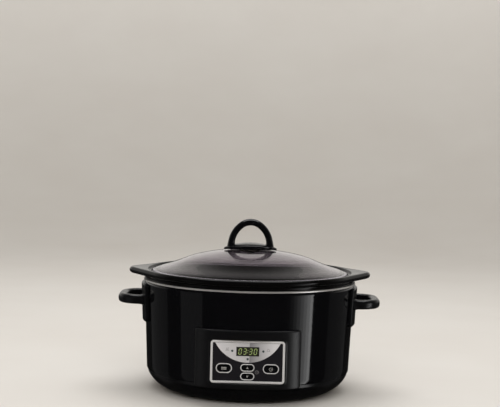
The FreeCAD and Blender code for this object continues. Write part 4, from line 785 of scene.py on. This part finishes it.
class COOKER_OT_lid_handle(bpy.types.Operator):
    """Make the loop handle on its boat-shaped foot"""
    bl_idname = "cooker.lid_handle"
    bl_label = "Lid handle"

    def execute(self, context):
        lid = context.scene.cooker_lid
        sphere, centre = dome_sphere(lid)
        apex = sphere + centre
        # Loop: upright legs, then side arcs and a crown tangent to each other
        foot, spring = apex + lid.leg_foot, apex + lid.leg_top
        half, rise, crown = lid.loop_half, lid.loop_rise, lid.loop_crown
        side = (half ** 2 + rise ** 2 - 2 * rise * crown) / (2 * (half - crown))
        bend = math.degrees(math.atan2(rise - crown, side - half))
        leg = np.column_stack([np.full(4, half), np.linspace(foot, spring, 5)[:-1]])
        right = np.vstack([leg, arc((half - side, spring), side, 0, bend, 16)[:-1]])
        top = arc((0, spring + rise - crown), crown, bend, 180 - bend, 33)
        line = np.vstack([right, top, right[::-1] * (-1, 1)])
        path = np.column_stack([line[:, 0], np.zeros(len(line)), line[:, 1]])
        ahead = np.gradient(path, axis=0)
        ahead /= np.linalg.norm(ahead, axis=1)[:, None]
        across = np.column_stack([ahead[:, 2], np.zeros(len(line)), -ahead[:, 0]])
        up = np.tile([0.0, 1.0, 0.0], (len(line), 1))
        root_swell, root_fade = 0.22, 5 * MM
        flare = 1 + root_swell * np.exp(-((path[:, 2] - foot) / root_fade) ** 2)
        tube = capped(path, across, up, oval(lid.loop_thick, lid.loop_deep, exponent=2.5, count=36), flare)

        # Foot: an outline of two arcs with rounded tips, shrunk towards its middle on a dome and on the glass
        reach, beam = lid.boat_reach, lid.boat_beam
        hull = (reach ** 2 + beam ** 2) / (2 * beam)
        swing = math.degrees(math.asin((reach - 2.5 * MM) / hull))
        bow = arc((0, beam - hull), hull, 90 - swing, 90 + swing, 41)
        tip = rounded([(*(bow[0] * (1, -1)), 0), (reach, 0, 2.2 * MM), (*bow[0], 0)], steps=8)[1:-1]
        outline = np.vstack([bow, -tip, -bow, tip])
        over = np.array([0.0, 0.25, 0.5, 0.72, 0.86, 0.94, 0.975, 0.992, 1.0])
        below = np.array([1.0, 0.985, 0.7, 0.0])
        spread = outline[None] * np.concatenate([over, below])[:, None, None]
        away = np.linalg.norm(spread, axis=2)
        edge_drop = 1.1 * MM * np.clip((over - 0.8) / 0.2, 0, 1) ** 2
        crest = apex + lid.boat_rise - lid.boat_dome + np.sqrt(lid.boat_dome ** 2 - away ** 2)
        keel = centre + np.sqrt((sphere + lid.boat_gap) ** 2 - away ** 2)
        level = np.vstack([crest[:len(over)] - edge_drop[:, None], keel[len(over):]])
        # The first row below the edge is lifted off the keel, which leaves a small chamfer
        level[len(over)] += 0.35 * MM
        boat = np.stack([spread[..., 0], spread[..., 1], np.maximum(level, keel)], axis=-1)
        build("loop_handle", [sheet(tube), sheet(boat)], finishes()["polished_abs"], "lid",
              ["lid_handle"], crease=55)
        return {"FINISHED"}


class COOKER_OT_side_handles(bpy.types.Operator):
    """Make the two side handles: a bent plate and a D-shaped grip"""
    bl_idname = "cooker.side_handles"
    bl_label = "Side handles"

    def execute(self, context):
        body = context.scene.cooker_body
        low, high = low_high("side_handle_right")
        # Grip: two arms and a bar with round bends, thicker where the arms meet the plate
        level, arm, bend = low[2] + body.grip_up, body.grip_arm, body.grip_bend
        bar_x = high[0] - body.grip_bar / 2
        root = wall_radius(body, level) + 1 * MM
        start = math.sqrt(root ** 2 - arm ** 2)
        right = np.vstack([np.column_stack([np.linspace(start, bar_x - bend, 9), np.full(9, -arm)]),
                           arc((bar_x - bend, bend - arm), bend, -90, 0, 13)[1:]])
        run = np.column_stack([np.full(7, bar_x), np.linspace(bend - arm, arm - bend, 9)[1:-1]])
        line = np.vstack([right, run, right[::-1] * (1, -1)])
        path = np.column_stack([line, np.full(len(line), level)])
        ahead = np.gradient(path, axis=0)
        ahead /= np.linalg.norm(ahead, axis=1)[:, None]
        out = np.column_stack([ahead[:, 1], -ahead[:, 0], np.zeros(len(line))])
        up = np.tile([0.0, 0.0, 1.0], (len(line), 1))
        root_swell, root_fade = 0.3, 5.5 * MM
        flare = 1 + root_swell * np.exp(-((np.hypot(path[:, 0], path[:, 1]) - root) / root_fade) ** 2)
        grip = capped(path, out, up, oval(body.grip_bar, body.grip_thick, exponent=2.7, count=36), flare)

        # Plate: rounded rectangles bent round the wall, from its back to its rounded edge and its face
        wide, tall, thick = 2 * high[1], high[2] - low[2], body.plate_thick
        rows = []
        for inset, sink in ((tall / 2, thick), (0, thick), (0, 1.6 * MM), (0.25 * MM, 0.8 * MM),
                            (0.8 * MM, 0.25 * MM), (1.7 * MM, 0), (8 * MM, 0), (20 * MM, 0), (tall / 2, 0)):
            corner = max(body.plate_corner - inset, TINY)
            outline = rounded_rectangle(wide - 2 * inset, tall - 2 * inset, corner, side=14)
            height = (low[2] + high[2]) / 2 + outline[:, 1]
            radius = wall_radius(body, height) + body.plate_gap + thick - sink
            turn = np.arcsin(outline[:, 0] / body.plate_turn)
            rows.append(np.column_stack([radius * np.cos(turn), radius * np.sin(turn), height]))
        plate = np.stack(rows)
        for side, way in (("right", 1), ("left", -1)):
            half_turn = np.array([way, way, 1])
            build("grip_" + side, [sheet(grip * half_turn), sheet(plate * half_turn)],
                  finishes()["moulded_phenolic"], "base", ["side_handle_" + side], crease=55)
        return {"FINISHED"}


class COOKER_OT_boss(bpy.types.Operator):
    """Make the bulged boss round the control panel"""
    bl_idname = "cooker.boss"
    bl_label = "Control boss"

    def execute(self, context):
        body, panel = context.scene.cooker_body, context.scene.cooker_panel
        low, high = low_high("control_boss")
        wide, tall = high[0] - low[0], high[2] - low[2]
        place = middle(low, high)
        bevel = panel.mouth_bevel
        mouth = (FIELD_HIGH - FIELD_LOW)[[0, 2]] + 2 * (panel.panel_gap + bevel)
        mouth_up = middle(FIELD_LOW, FIELD_HIGH)[1] - place[1]
        # The recess's floor reaches a little into the frame, so that no gap shows round it
        frame_lap, ledge_thick = 1 * MM, 2.5 * MM
        floor = frame_lap - FRAME_HIGH[1]
        face, wing, start = panel.boss_face, panel.boss_wing, mouth[0] / 2
        lean = math.asin(start / face)

        def bulge(across):
            """Depth of the face: a wide arc, then a tighter one tangent to it at each wing."""
            past = np.maximum(np.abs(across) - start, 0) + wing * math.sin(lean)
            front = -low[1] - face + np.sqrt(face ** 2 - np.minimum(np.abs(across), start) ** 2)
            return front + np.sqrt(wing ** 2 - past ** 2) - wing * math.cos(lean)

        def skin(outline):
            """Depth just behind the housing's wall."""
            radius = wall_radius(body, place[1] + outline[:, 1])
            return np.sqrt(radius ** 2 - outline[:, 0] ** 2) - 0.5 * MM

        def rim(inset):
            """Outline of the boss, shrunk by an inset."""
            corner = max(panel.boss_corner - inset, 0.4 * MM)
            return rounded_rectangle(wide - 2 * inset, tall - 2 * inset, corner, side=24)

        def recess(inset):
            """Outline of the panel's recess, shrunk by an inset."""
            corner = max(panel.mouth_corner - inset, 1 * MM)
            return rounded_rectangle(*(mouth - 2 * inset), corner, side=24) + (0, mouth_up)

        # Rows from the wall over a quarter-round edge, across the face, over a bevel and into the recess
        round_turn = np.radians(np.linspace(0, 90, 5))
        rows = [upright(rim(0), skin(rim(0)), place)]
        for turn in round_turn:
            outline = rim(panel.boss_edge * (1 - math.cos(turn)))
            depth = bulge(outline[:, 0]) - panel.boss_edge * (1 - math.sin(turn))
            rows.append(upright(outline, np.maximum(depth, skin(outline) + 0.1 * MM), place))
        for share in np.linspace(0, 1, 11)[1:]:
            across = outline + (recess(0) - outline) * share
            rows.append(upright(across, bulge(across[:, 0]), place))
        for turn in round_turn[1:]:
            inner = recess(bevel * math.sin(turn))
            depth = bulge(inner[:, 0]) - bevel * (1 - math.cos(turn))
            rows.append(upright(inner, np.maximum(depth, floor + 0.3 * MM), place))
        ledge = recess(bevel + panel.panel_ledge)
        rows += [upright(recess(bevel), floor, place), upright(ledge, floor, place),
                 upright(ledge, floor - ledge_thick, place)]
        build("panel_boss", [sheet(np.stack(rows), wrap_rows=True)], finishes()["satin_abs"], "base",
              ["control_boss"], crease=50)
        return {"FINISHED"}


def pill_frame(width, height, corner, line, low, high, place):
    """Ring of rounded-rectangle outlines with a softly rounded section, from depth low to depth high."""
    soft = min(line * 0.3, (high - low) * 0.6)
    steps = [(0, low), (0, high - soft), (soft * 0.3, high - soft * 0.3), (soft, high), (line - soft, high),
             (line - soft * 0.3, high - soft * 0.3), (line, high - soft), (line, low)]
    return sheet(stepped(width, height, corner, steps, place), wrap_rows=True)


class COOKER_OT_panel(bpy.types.Operator):
    """Make the silver frame and the brushed crescent of the panel"""
    bl_idname = "cooker.panel"
    bl_label = "Panel"

    def execute(self, context):
        made, panel = finishes(), context.scene.cooker_panel
        size = FRAME_HIGH - FRAME_LOW
        ring = pill_frame(size[0], size[2], panel.frame_corner, panel.frame_line, -FRAME_HIGH[1],
                          -FRAME_LOW[1], middle(FRAME_LOW, FRAME_HIGH))
        build("panel_frame", [ring], made["brushed_aluminium"], "base", ["fascia_frame"])
        # The crescent gets the brushed finish whose base colour carries a painted reflection
        dress(made["sunray_aluminium"], "fascia_crescent")
        return {"FINISHED"}


BUTTONS = {"mode_button": "mode", "up_button": "up", "down_button": "down", "power_button": "timer"}


class COOKER_OT_buttons(bpy.types.Operator):
    """Make the four button caps and their silver rings"""
    bl_idname = "cooker.buttons"
    bl_label = "Buttons"

    def execute(self, context):
        made, panel = finishes(), context.scene.cooker_panel
        flange, stem = panel.flange, panel.stem
        for node, word in BUTTONS.items():
            low, high = low_high(node)
            place = middle(low, high)
            wide, tall = high[0] - low[0], high[2] - low[2]
            front, behind, end = -low[1], -FIELD_LOW[1] - panel.sheet, -high[1]
            half = tall / 2 - flange
            # Cap: straight sides, a rounded edge and a slightly hollow face
            cap = stepped(wide - 2 * flange, tall - 2 * flange, half - TINY, [
                (0, behind), (0, front - 0.55 * MM), (0.12 * MM, front - 0.25 * MM),
                (0.4 * MM, front - 0.06 * MM), (0.9 * MM, front), (half * 0.6, front - 0.05 * MM),
                (half - 2 * TINY, front - 0.08 * MM)], place)
            back = behind - flange
            plate = stepped(wide, tall, tall / 2 - TINY, [
                (half, back), (0, back), (0, behind), (flange, behind)], place)
            rod = np.stack([upright(arc((0, 0), radius, 0, 345, 24), depth, place)
                            for radius, depth in ((stem, back + 0.2 * MM), (stem, end), (0.1 * TINY, end))])
            build(word + "_cap", [sheet(cap), sheet(plate), sheet(rod)], made["polished_abs"], node,
                  [node])
            ring_low, ring_high = low_high(node + "_ring")
            outside = ring_high - ring_low
            ring = pill_frame(outside[0], outside[2], outside[2] / 2 - TINY, panel.ring_line, -ring_high[1],
                              -ring_low[1], place)
            build(word + "_ring", [ring], made["brushed_aluminium"], "base", [node + "_ring"])
        return {"FINISHED"}


def slab(corners, front, thick, place):
    """Flat sign facing -Y: a closed outline (x, z) about a place, from its middle to its edge and back."""
    centre = np.repeat(corners.mean(axis=0, keepdims=True), len(corners), axis=0)
    return sheet(np.stack([upright(centre, front, place), upright(corners, front, place),
                           upright(corners, front - thick, place)]))


def band(radius, line, start, end, front, place):
    """Arc with a square section from angle start to end, facing -Y, drawn to a point at both ends."""
    inner, outer, back = radius - line / 2, radius + line / 2, front - 0.2 * MM
    grid = np.stack([upright(arc((0, 0), size, start, end, 40), depth, place)
                     for size, depth in ((inner, front), (outer, front), (outer, back), (inner, back))])
    tips = np.repeat(grid[:, [0, -1]].mean(axis=0, keepdims=True), 4, axis=0)
    return sheet(np.concatenate([tips[:, :1], grid, tips[:, 1:]], axis=1), wrap_rows=True, wrap_columns=False)


def strokes(lines, width, front, thick, place):
    """Straight strokes with four corners each; lines (start, end) and the width are in millimetres."""
    made = []
    for start, end in np.array(lines, float):
        ahead = (end - start) / np.linalg.norm(end - start)
        side = np.array([-ahead[1], ahead[0]]) * width / 2
        corners = np.array([start - side, end - side, end + side, start + side])
        made.append(slab(corners * MM, front, thick, place))
    return made


# Lines and tiles of the signs, in millimetres about each sign's middle, and the clock's place on the panel
ARROW = np.array([(-1.5, -1.1), (1.5, -1.1), (0, 1.5)])
TIMER_HANDS = (((0, 0.2), (0, 3.0)), ((0, 0), (1.3, -0.6)))
CLOCK_HANDS = (((0, 0), (0, 1.4)), ((0, 0), (1.0, 0.5)))
WARMTH = (((-2.4, -1.6), (2.4, -1.6)), ((-1.8, -0.8), (1.8, -0.8)), ((-1.3, 0.2), (-0.6, 1.9)),
          ((0.1, 0.2), (0.8, 1.9)), ((1.5, 0.2), (2.2, 1.9)))
BELL = (((-2.2, -1.4), (2.2, -1.4)), ((-1.7, -1.2), (-0.7, 1.5)), ((1.7, -1.2), (0.7, 1.5)),
        ((-0.8, 1.5), (0.8, 1.5)))
TILE, TILE_CORNER = (1.3, 1.5), 0.25
TILE_SPOTS = tuple((x, z) for x in (-2.6, -0.9, 0.9, 2.6) for z in (-1.1, 0.9))
CLOCK_X = 12.6


class COOKER_OT_signs(bpy.types.Operator):
    """Print generic signs on the buttons and the panel"""
    bl_idname = "cooker.signs"
    bl_label = "Signs"

    def execute(self, context):
        made, lift = finishes(), context.scene.cooker_panel.print_lift
        place = {node: middle(*low_high(node)) for node in BUTTONS}
        front = {node: lift - low_high(node)[0][1] for node in BUTTONS}
        ink, film = 0.3 * MM, 0.1 * MM
        tiles = [(rounded_rectangle(*TILE, TILE_CORNER, steps=2, side=2) + spot) * MM for spot in TILE_SPOTS]
        node = "power_button"
        timer = [band(2.3 * MM, 0.5 * MM, -230, 50, front[node], place[node]),
                 *strokes(TIMER_HANDS, 0.55, front[node], ink, place[node])]
        signs = {
            "up_button": [slab(ARROW * MM, front["up_button"], ink, place["up_button"])],
            "down_button": [slab(ARROW * (MM, -MM), front["down_button"], ink, place["down_button"])],
            "mode_button": [slab(tile, front["mode_button"], ink, place["mode_button"]) for tile in tiles],
            node: timer}
        for node, sheets in signs.items():
            build(BUTTONS[node] + "_sign", sheets, made["silver_ink"], node, crease=30)

        clock = (CLOCK_X * MM, (place["up_button"][1] + place["down_button"][1]) / 2)
        field = lift - FIELD_LOW[1]
        crescent = lift - low_high("fascia_crescent")[0][1]
        left, right = low_high("indicator_left"), low_high("indicator_right")
        over, aside, warmth_rise, bell_rise = middle(*left)[1], 5.2 * MM, 2.2 * MM, 1.8 * MM
        sheets = [band(2.2 * MM, 0.35 * MM, 0, 359.9, field, clock),
                  *strokes(CLOCK_HANDS, 0.3, field, film, clock),
                  *strokes(WARMTH, 0.45, crescent, film, (left[0][0] - aside, over + warmth_rise)),
                  *strokes(BELL, 0.45, crescent, film, (right[1][0] + aside, over + bell_rise))]
        build("clock_sign", sheets, made["grey_ink"], "base", crease=30)
        return {"FINISHED"}


# Segments a to g of a digit, as strokes on a cell one wide and two high
SEGMENTS = {"a": ((0, 2), (1, 2)), "b": ((1, 2), (1, 1)), "c": ((1, 1), (1, 0)), "d": ((0, 0), (1, 0)),
            "e": ((0, 1), (0, 0)), "f": ((0, 2), (0, 1)), "g": ((0, 1), (1, 1))}
DIGITS = {"0": "abcdef", "3": "abcdg"}
# Time on the display, with each digit's left edge in millimetres from the window's middle
SHOWN_TIME = (("0", -12.3), ("3", -6.0), ("3", 1.6), ("0", 7.9))
DIGIT_LEAN = 0.14
# A cell's width and half its height as shares of a digit's height, and a segment's gap at each end as a
# share of its width
DIGIT_CELL = np.array([0.46, 0.5])
SEGMENT_GAP = 0.2
# Dots between the hours and the minutes, in millimetres from the window's middle
COLON_X, COLON_RISE, COLON_RADIUS = 0.1, 1.5, 0.5


def segment(start, end, tall, thick):
    """Six-sided stroke of a seven-segment digit, pointed at both ends, leaning right."""
    cell = DIGIT_CELL * tall
    start, end = start * cell, end * cell
    ahead = (end - start) / np.linalg.norm(end - start)
    side = np.array([-ahead[1], ahead[0]]) * thick / 2
    near, far = start + ahead * thick * SEGMENT_GAP, end - ahead * thick * SEGMENT_GAP
    step = ahead * thick / 2
    corners = np.array([near, near + step - side, far - step - side,
                        far, far - step + side, near + step + side])
    corners[:, 0] += corners[:, 1] * DIGIT_LEAN
    return corners


class COOKER_OT_display(bpy.types.Operator):
    """Make the smoked window and its digits"""
    bl_idname = "cooker.display"
    bl_label = "Display"

    def execute(self, context):
        made, panel = finishes(), context.scene.cooker_panel
        low, high = low_high("display_window")
        place, size, front, tall = middle(low, high), high - low, -low[1], panel.digit_height
        pane = stepped(size[0], size[2], 0.8 * MM, [
            (size[2] / 2, -high[1]), (0, -high[1]), (0, front - 0.3 * MM), (0.1 * MM, front - 0.08 * MM),
            (0.3 * MM, front), (size[2] / 2 - TINY, front)], place)
        build("display_pane", [sheet(pane)], made["smoked_window"], "base", ["display_window"])
        lit, dark = [], []
        level, film = front + 0.05 * MM, 0.2 * MM
        for digit, left in SHOWN_TIME:
            for letter, (first, last) in SEGMENTS.items():
                corners = segment(first, last, tall, panel.stroke) + np.array([left * MM, -tall / 2])
                (lit if letter in DIGITS[digit] else dark).append(slab(corners, level, film, place))
        for height in (-COLON_RISE * MM, COLON_RISE * MM):
            dot = arc((COLON_X * MM + height * DIGIT_LEAN, height), COLON_RADIUS * MM, 0, 330, 12)
            lit.append(slab(dot, level, film, place))
        build("lit_digits", lit, made["lit_segment"], "base", crease=30)
        build("dark_digits", dark, made["dark_segment"], "base", crease=30)
        return {"FINISHED"}


class COOKER_OT_feet(bpy.types.Operator):
    """Make the four rubber feet"""
    bl_idname = "cooker.feet"
    bl_label = "Feet"

    def execute(self, context):
        body = context.scene.cooker_body
        tray, hollow, plug = TRAY_LOW[2], body.foot_hollow, body.foot_plug
        for node in ("foot_front_left", "foot_front_right", "foot_back_left", "foot_back_right"):
            low, high = low_high(node)
            place = np.array([(low[0] + high[0]) / 2, (low[1] + high[1]) / 2, 0])
            profile = rounded([
                (0, 0.5 * MM, 0), (hollow, 0.5 * MM, 0.3 * MM), (hollow + 1 * MM, 0, 0.5 * MM),
                (body.foot_tread, 0, 1.0 * MM), (body.foot_radius, tray, 0.4 * MM), (plug, tray, 0),
                (plug, high[2], 0.6 * MM), (0, high[2], 0)])
            build(node.replace("foot", "rubber_foot"), [sheet(turned(profile, 64) + place)],
                  finishes()["moulded_rubber"], "base", [node])
        return {"FINISHED"}


# Stage: the picture's size and where the cooker's middle shows in it, in pixels, and that middle in metres
PICTURE = (500, 407)
MIDDLE_AT = (249, 304)
MIDDLE = Vector((0, 0, 0.12))
# Places and sizes of the two boxes, and of the upright boards beside the cooker, in metres
OVERHEAD_AT, OVERHEAD_SIZE = (0, 0.4, 2.3), (2.2, 1.7)
FILL_AT, FILL_SIZE = (0, -2.4, 1.5), (2.2, 1.4)
BOARD_AWAY, BOARD_TALL, BOARD_MIDDLE = 1.5, 1.6, -0.4
# Bearings between which each board shows in the wall, and of the ramp of strips on the right, in degrees
BOARDS = {"left_edge": (-138, -100), "left_board": (-80, -51), "right_edge": (97, 138)}
STRIPS, STRIP_TURN, RAMP_START, RAMP_EXPONENT = 8, 4, 41.6, 2.5
# Paper's flat middle and the height at which its glow is full, in metres, and that glow's strength
PAPER_FLAT, GLOW_HEIGHT, GLOW = 0.5, 1.2, 0.42
# Strength of the air for the eye and, in reflections, of its band at the back and of the rest
AIR_EVEN, AIR_BAND, AIR_DARK = 0.62, 1.15, 0.02


def studio_sweep(scene):
    """Round paper sweep: a flat floor that bends up into a backdrop and is brighter with height."""
    stage, colours = scene.cooker_stage, scene.cooker_colours
    far, bend = stage.sweep_radius, stage.sweep_bend
    top = bend * 1.2
    line = np.vstack([[[0, 0]], [[PAPER_FLAT, 0]], arc((far - bend, bend), bend, -90, 0, 32), [[far, top]]])
    paper, tree, shader, place = pebbled("studio_paper", {
        "Specular IOR Level": 0.1, "Emission Color": colours.backdrop}, 4.0, 0.02, (0.8, 0.9))
    shaded(tree, shader, place, 300, colours.floor, colours.backdrop)
    height = add(tree, "ShaderNodeSeparateXYZ", {"Vector": place}).outputs["Z"]
    rise = add(tree, "ShaderNodeMapRange", {"Value": height, "From Min": 0.0, "From Max": GLOW_HEIGHT,
                                            "To Min": 0.0, "To Max": GLOW})
    tree.links.new(rise.outputs["Result"], shader.inputs["Emission Strength"])
    paper.cycles.emission_sampling = "NONE"
    sweep = shown("studio_sweep", woven("studio_sweep", [sheet(turned(line, 96))], closed=False), paper)
    sweep.visible_glossy = False


def studio_air(scene):
    """World: even for the eye and the floor; in reflections dark, but for a bright band low at the back."""
    world = bpy.data.worlds.new("studio_air")
    scene.world = world
    world.use_nodes = True
    tree = world.node_tree
    way = add(tree, "ShaderNodeTexCoord").outputs["Generated"]
    ways = add(tree, "ShaderNodeSeparateXYZ", {"Vector": way})
    behind = add(tree, "ShaderNodeMapRange", {"Value": ways.outputs["Y"], "From Min": 0.1, "From Max": 0.7})
    low = add(tree, "ShaderNodeMapRange", {"Value": ways.outputs["Z"], "From Min": 0.0, "From Max": 0.05})
    high = add(tree, "ShaderNodeMapRange", {"Value": ways.outputs["Z"], "From Min": 0.05, "From Max": 1.0,
                                            "To Min": 1.0, "To Max": 0.0}, interpolation_type="SMOOTHERSTEP")
    share = add(tree, "ShaderNodeMath", {0: behind.outputs["Result"], 1: low.outputs["Result"]},
                operation="MULTIPLY")
    share = add(tree, "ShaderNodeMath", {0: share.outputs["Value"], 1: high.outputs["Result"]},
                operation="MULTIPLY")
    mirrored = add(tree, "ShaderNodeMath", {0: share.outputs["Value"], 1: AIR_BAND, 2: AIR_DARK},
                   operation="MULTIPLY_ADD")
    ray = add(tree, "ShaderNodeLightPath")
    strength = add(tree, "ShaderNodeMix", {"Factor": ray.outputs["Is Glossy Ray"], "A": AIR_EVEN,
                                           "B": mirrored.outputs["Value"]}, data_type="FLOAT")
    back = tree.nodes["Background"]
    back.inputs["Color"].default_value = scene.cooker_colours.backdrop
    tree.links.new(strength.outputs["Result"], back.inputs["Strength"])


def lamp(scene, name, spot, aim, size, watts, diffuse=True, glossy=True):
    """Area lamp of a size (width, height) at a spot, turned to face an aim."""
    light = bpy.data.lights.new(name, "AREA")
    light.shape = "RECTANGLE"
    light.size, light.size_y, light.energy = *size, watts
    made = bpy.data.objects.new(name, light)
    made.location = spot
    made.rotation_euler = (Vector(aim) - Vector(spot)).to_track_quat("-Z", "Y").to_euler()
    made.visible_diffuse, made.visible_glossy, made.visible_transmission = diffuse, glossy, False
    scene.collection.objects.link(made)


def mirrored_board(scene, name, first, last, watts):
    """Upright lamp that the wall mirrors to the camera between two bearings, in degrees right of the front.

    It reaches below the floor, so that its reflection runs the whole height of the wall.
    """
    turn, half = math.radians((first + last) / 2), math.radians((last - first) / 2)
    lift = Vector((0, 0, BOARD_MIDDLE))
    wall = Vector((math.sin(turn / 2), -math.cos(turn / 2), 0)) * scene.cooker_body.wall_top + lift
    spot = wall + Vector((math.sin(turn), -math.cos(turn), 0)) * BOARD_AWAY
    lamp(scene, name, spot, wall, (2 * BOARD_AWAY * math.tan(half), BOARD_TALL), watts, diffuse=False)


def photo_view(scene):
    """Camera that looks at the cooker's middle, rolls, then turns until the middle shows at its place."""
    stage = scene.cooker_stage
    camera = bpy.data.cameras.new("photo_view")
    camera.lens, camera.sensor_width = stage.lens, 36
    camera.clip_start, camera.clip_end = 0.05, 50
    eye = bpy.data.objects.new("photo_view", camera)
    scene.collection.objects.link(eye)
    scene.camera = eye
    focal = camera.lens / camera.sensor_width * PICTURE[0]
    eye.location = MIDDLE + Vector((0, -math.cos(stage.climb), math.sin(stage.climb))) * stage.distance
    looking = (MIDDLE - eye.location).to_track_quat("-Z", "Y").to_matrix()
    down = math.atan((MIDDLE_AT[1] - PICTURE[1] / 2) / focal)
    along = math.atan((MIDDLE_AT[0] - PICTURE[0] / 2) / focal)
    turn = Matrix.Rotation(down, 3, "X") @ Matrix.Rotation(along, 3, "Y")
    eye.rotation_euler = (looking @ Matrix.Rotation(stage.roll, 3, "Z") @ turn).to_euler()


class COOKER_OT_stage(bpy.types.Operator):
    """Set the floor, the backdrop, the lamps and the camera"""
    bl_idname = "cooker.stage"
    bl_label = "Stage"

    def execute(self, context):
        scene = context.scene
        stage = scene.cooker_stage
        scene.view_settings.view_transform = "Standard"
        studio_sweep(scene)
        studio_air(scene)
        lamp(scene, "overhead_box", OVERHEAD_AT, MIDDLE, OVERHEAD_SIZE, stage.overhead)
        lamp(scene, "front_fill", FILL_AT, MIDDLE, FILL_SIZE, stage.fill, glossy=False)
        for name, (first, last) in BOARDS.items():
            mirrored_board(scene, name, first, last, getattr(stage, name))
        # Strips side by side, each brighter than the last: a soft ramp with one hard edge
        for number in range(STRIPS):
            bearing = RAMP_START + STRIP_TURN * number
            mirrored_board(scene, f"right_strip_{number}", bearing, bearing + STRIP_TURN,
                           stage.right_strip * ((number + 1) / STRIPS) ** RAMP_EXPONENT)
        photo_view(scene)
        return {"FINISHED"}


PIECES = (COOKER_OT_hidden, COOKER_OT_housing, COOKER_OT_trim_ring, COOKER_OT_pot, COOKER_OT_lid,
          COOKER_OT_lid_handle, COOKER_OT_side_handles, COOKER_OT_boss, COOKER_OT_panel, COOKER_OT_buttons,
          COOKER_OT_signs, COOKER_OT_display, COOKER_OT_feet, COOKER_OT_stage)


class VIEW3D_PT_cooker(bpy.types.Panel):
    """Lists the cooker's pieces"""
    bl_idname = "VIEW3D_PT_cooker"
    bl_label = "Slow Cooker"
    bl_space_type = "VIEW_3D"
    bl_region_type = "UI"
    bl_category = "Slow Cooker"

    def draw(self, context):
        for piece in PIECES:
            self.layout.operator(piece.bl_idname)


GROUPS = {"cooker_body": BodySizes, "cooker_pot": PotSizes, "cooker_lid": LidSizes,
          "cooker_panel": PanelSizes, "cooker_stage": StageSettings, "cooker_colours": CookerColours}
CLASSES = (*GROUPS.values(), *PIECES, VIEW3D_PT_cooker)


def register():
    """Register the classes and hang the sizes and colours on the scene."""
    for made in CLASSES:
        bpy.utils.register_class(made)
    for name, group in GROUPS.items():
        setattr(bpy.types.Scene, name, PointerProperty(type=group))


def unregister():
    """Take the sizes, the colours and the classes away."""
    for name in GROUPS:
        delattr(bpy.types.Scene, name)
    for made in reversed(CLASSES):
        bpy.utils.unregister_class(made)


def main():
    """Make every piece in order."""
    register()
    for piece in PIECES:
        group, word = piece.bl_idname.split(".")
        getattr(getattr(bpy.ops, group), word)()


if __name__ == "__main__":
    main()
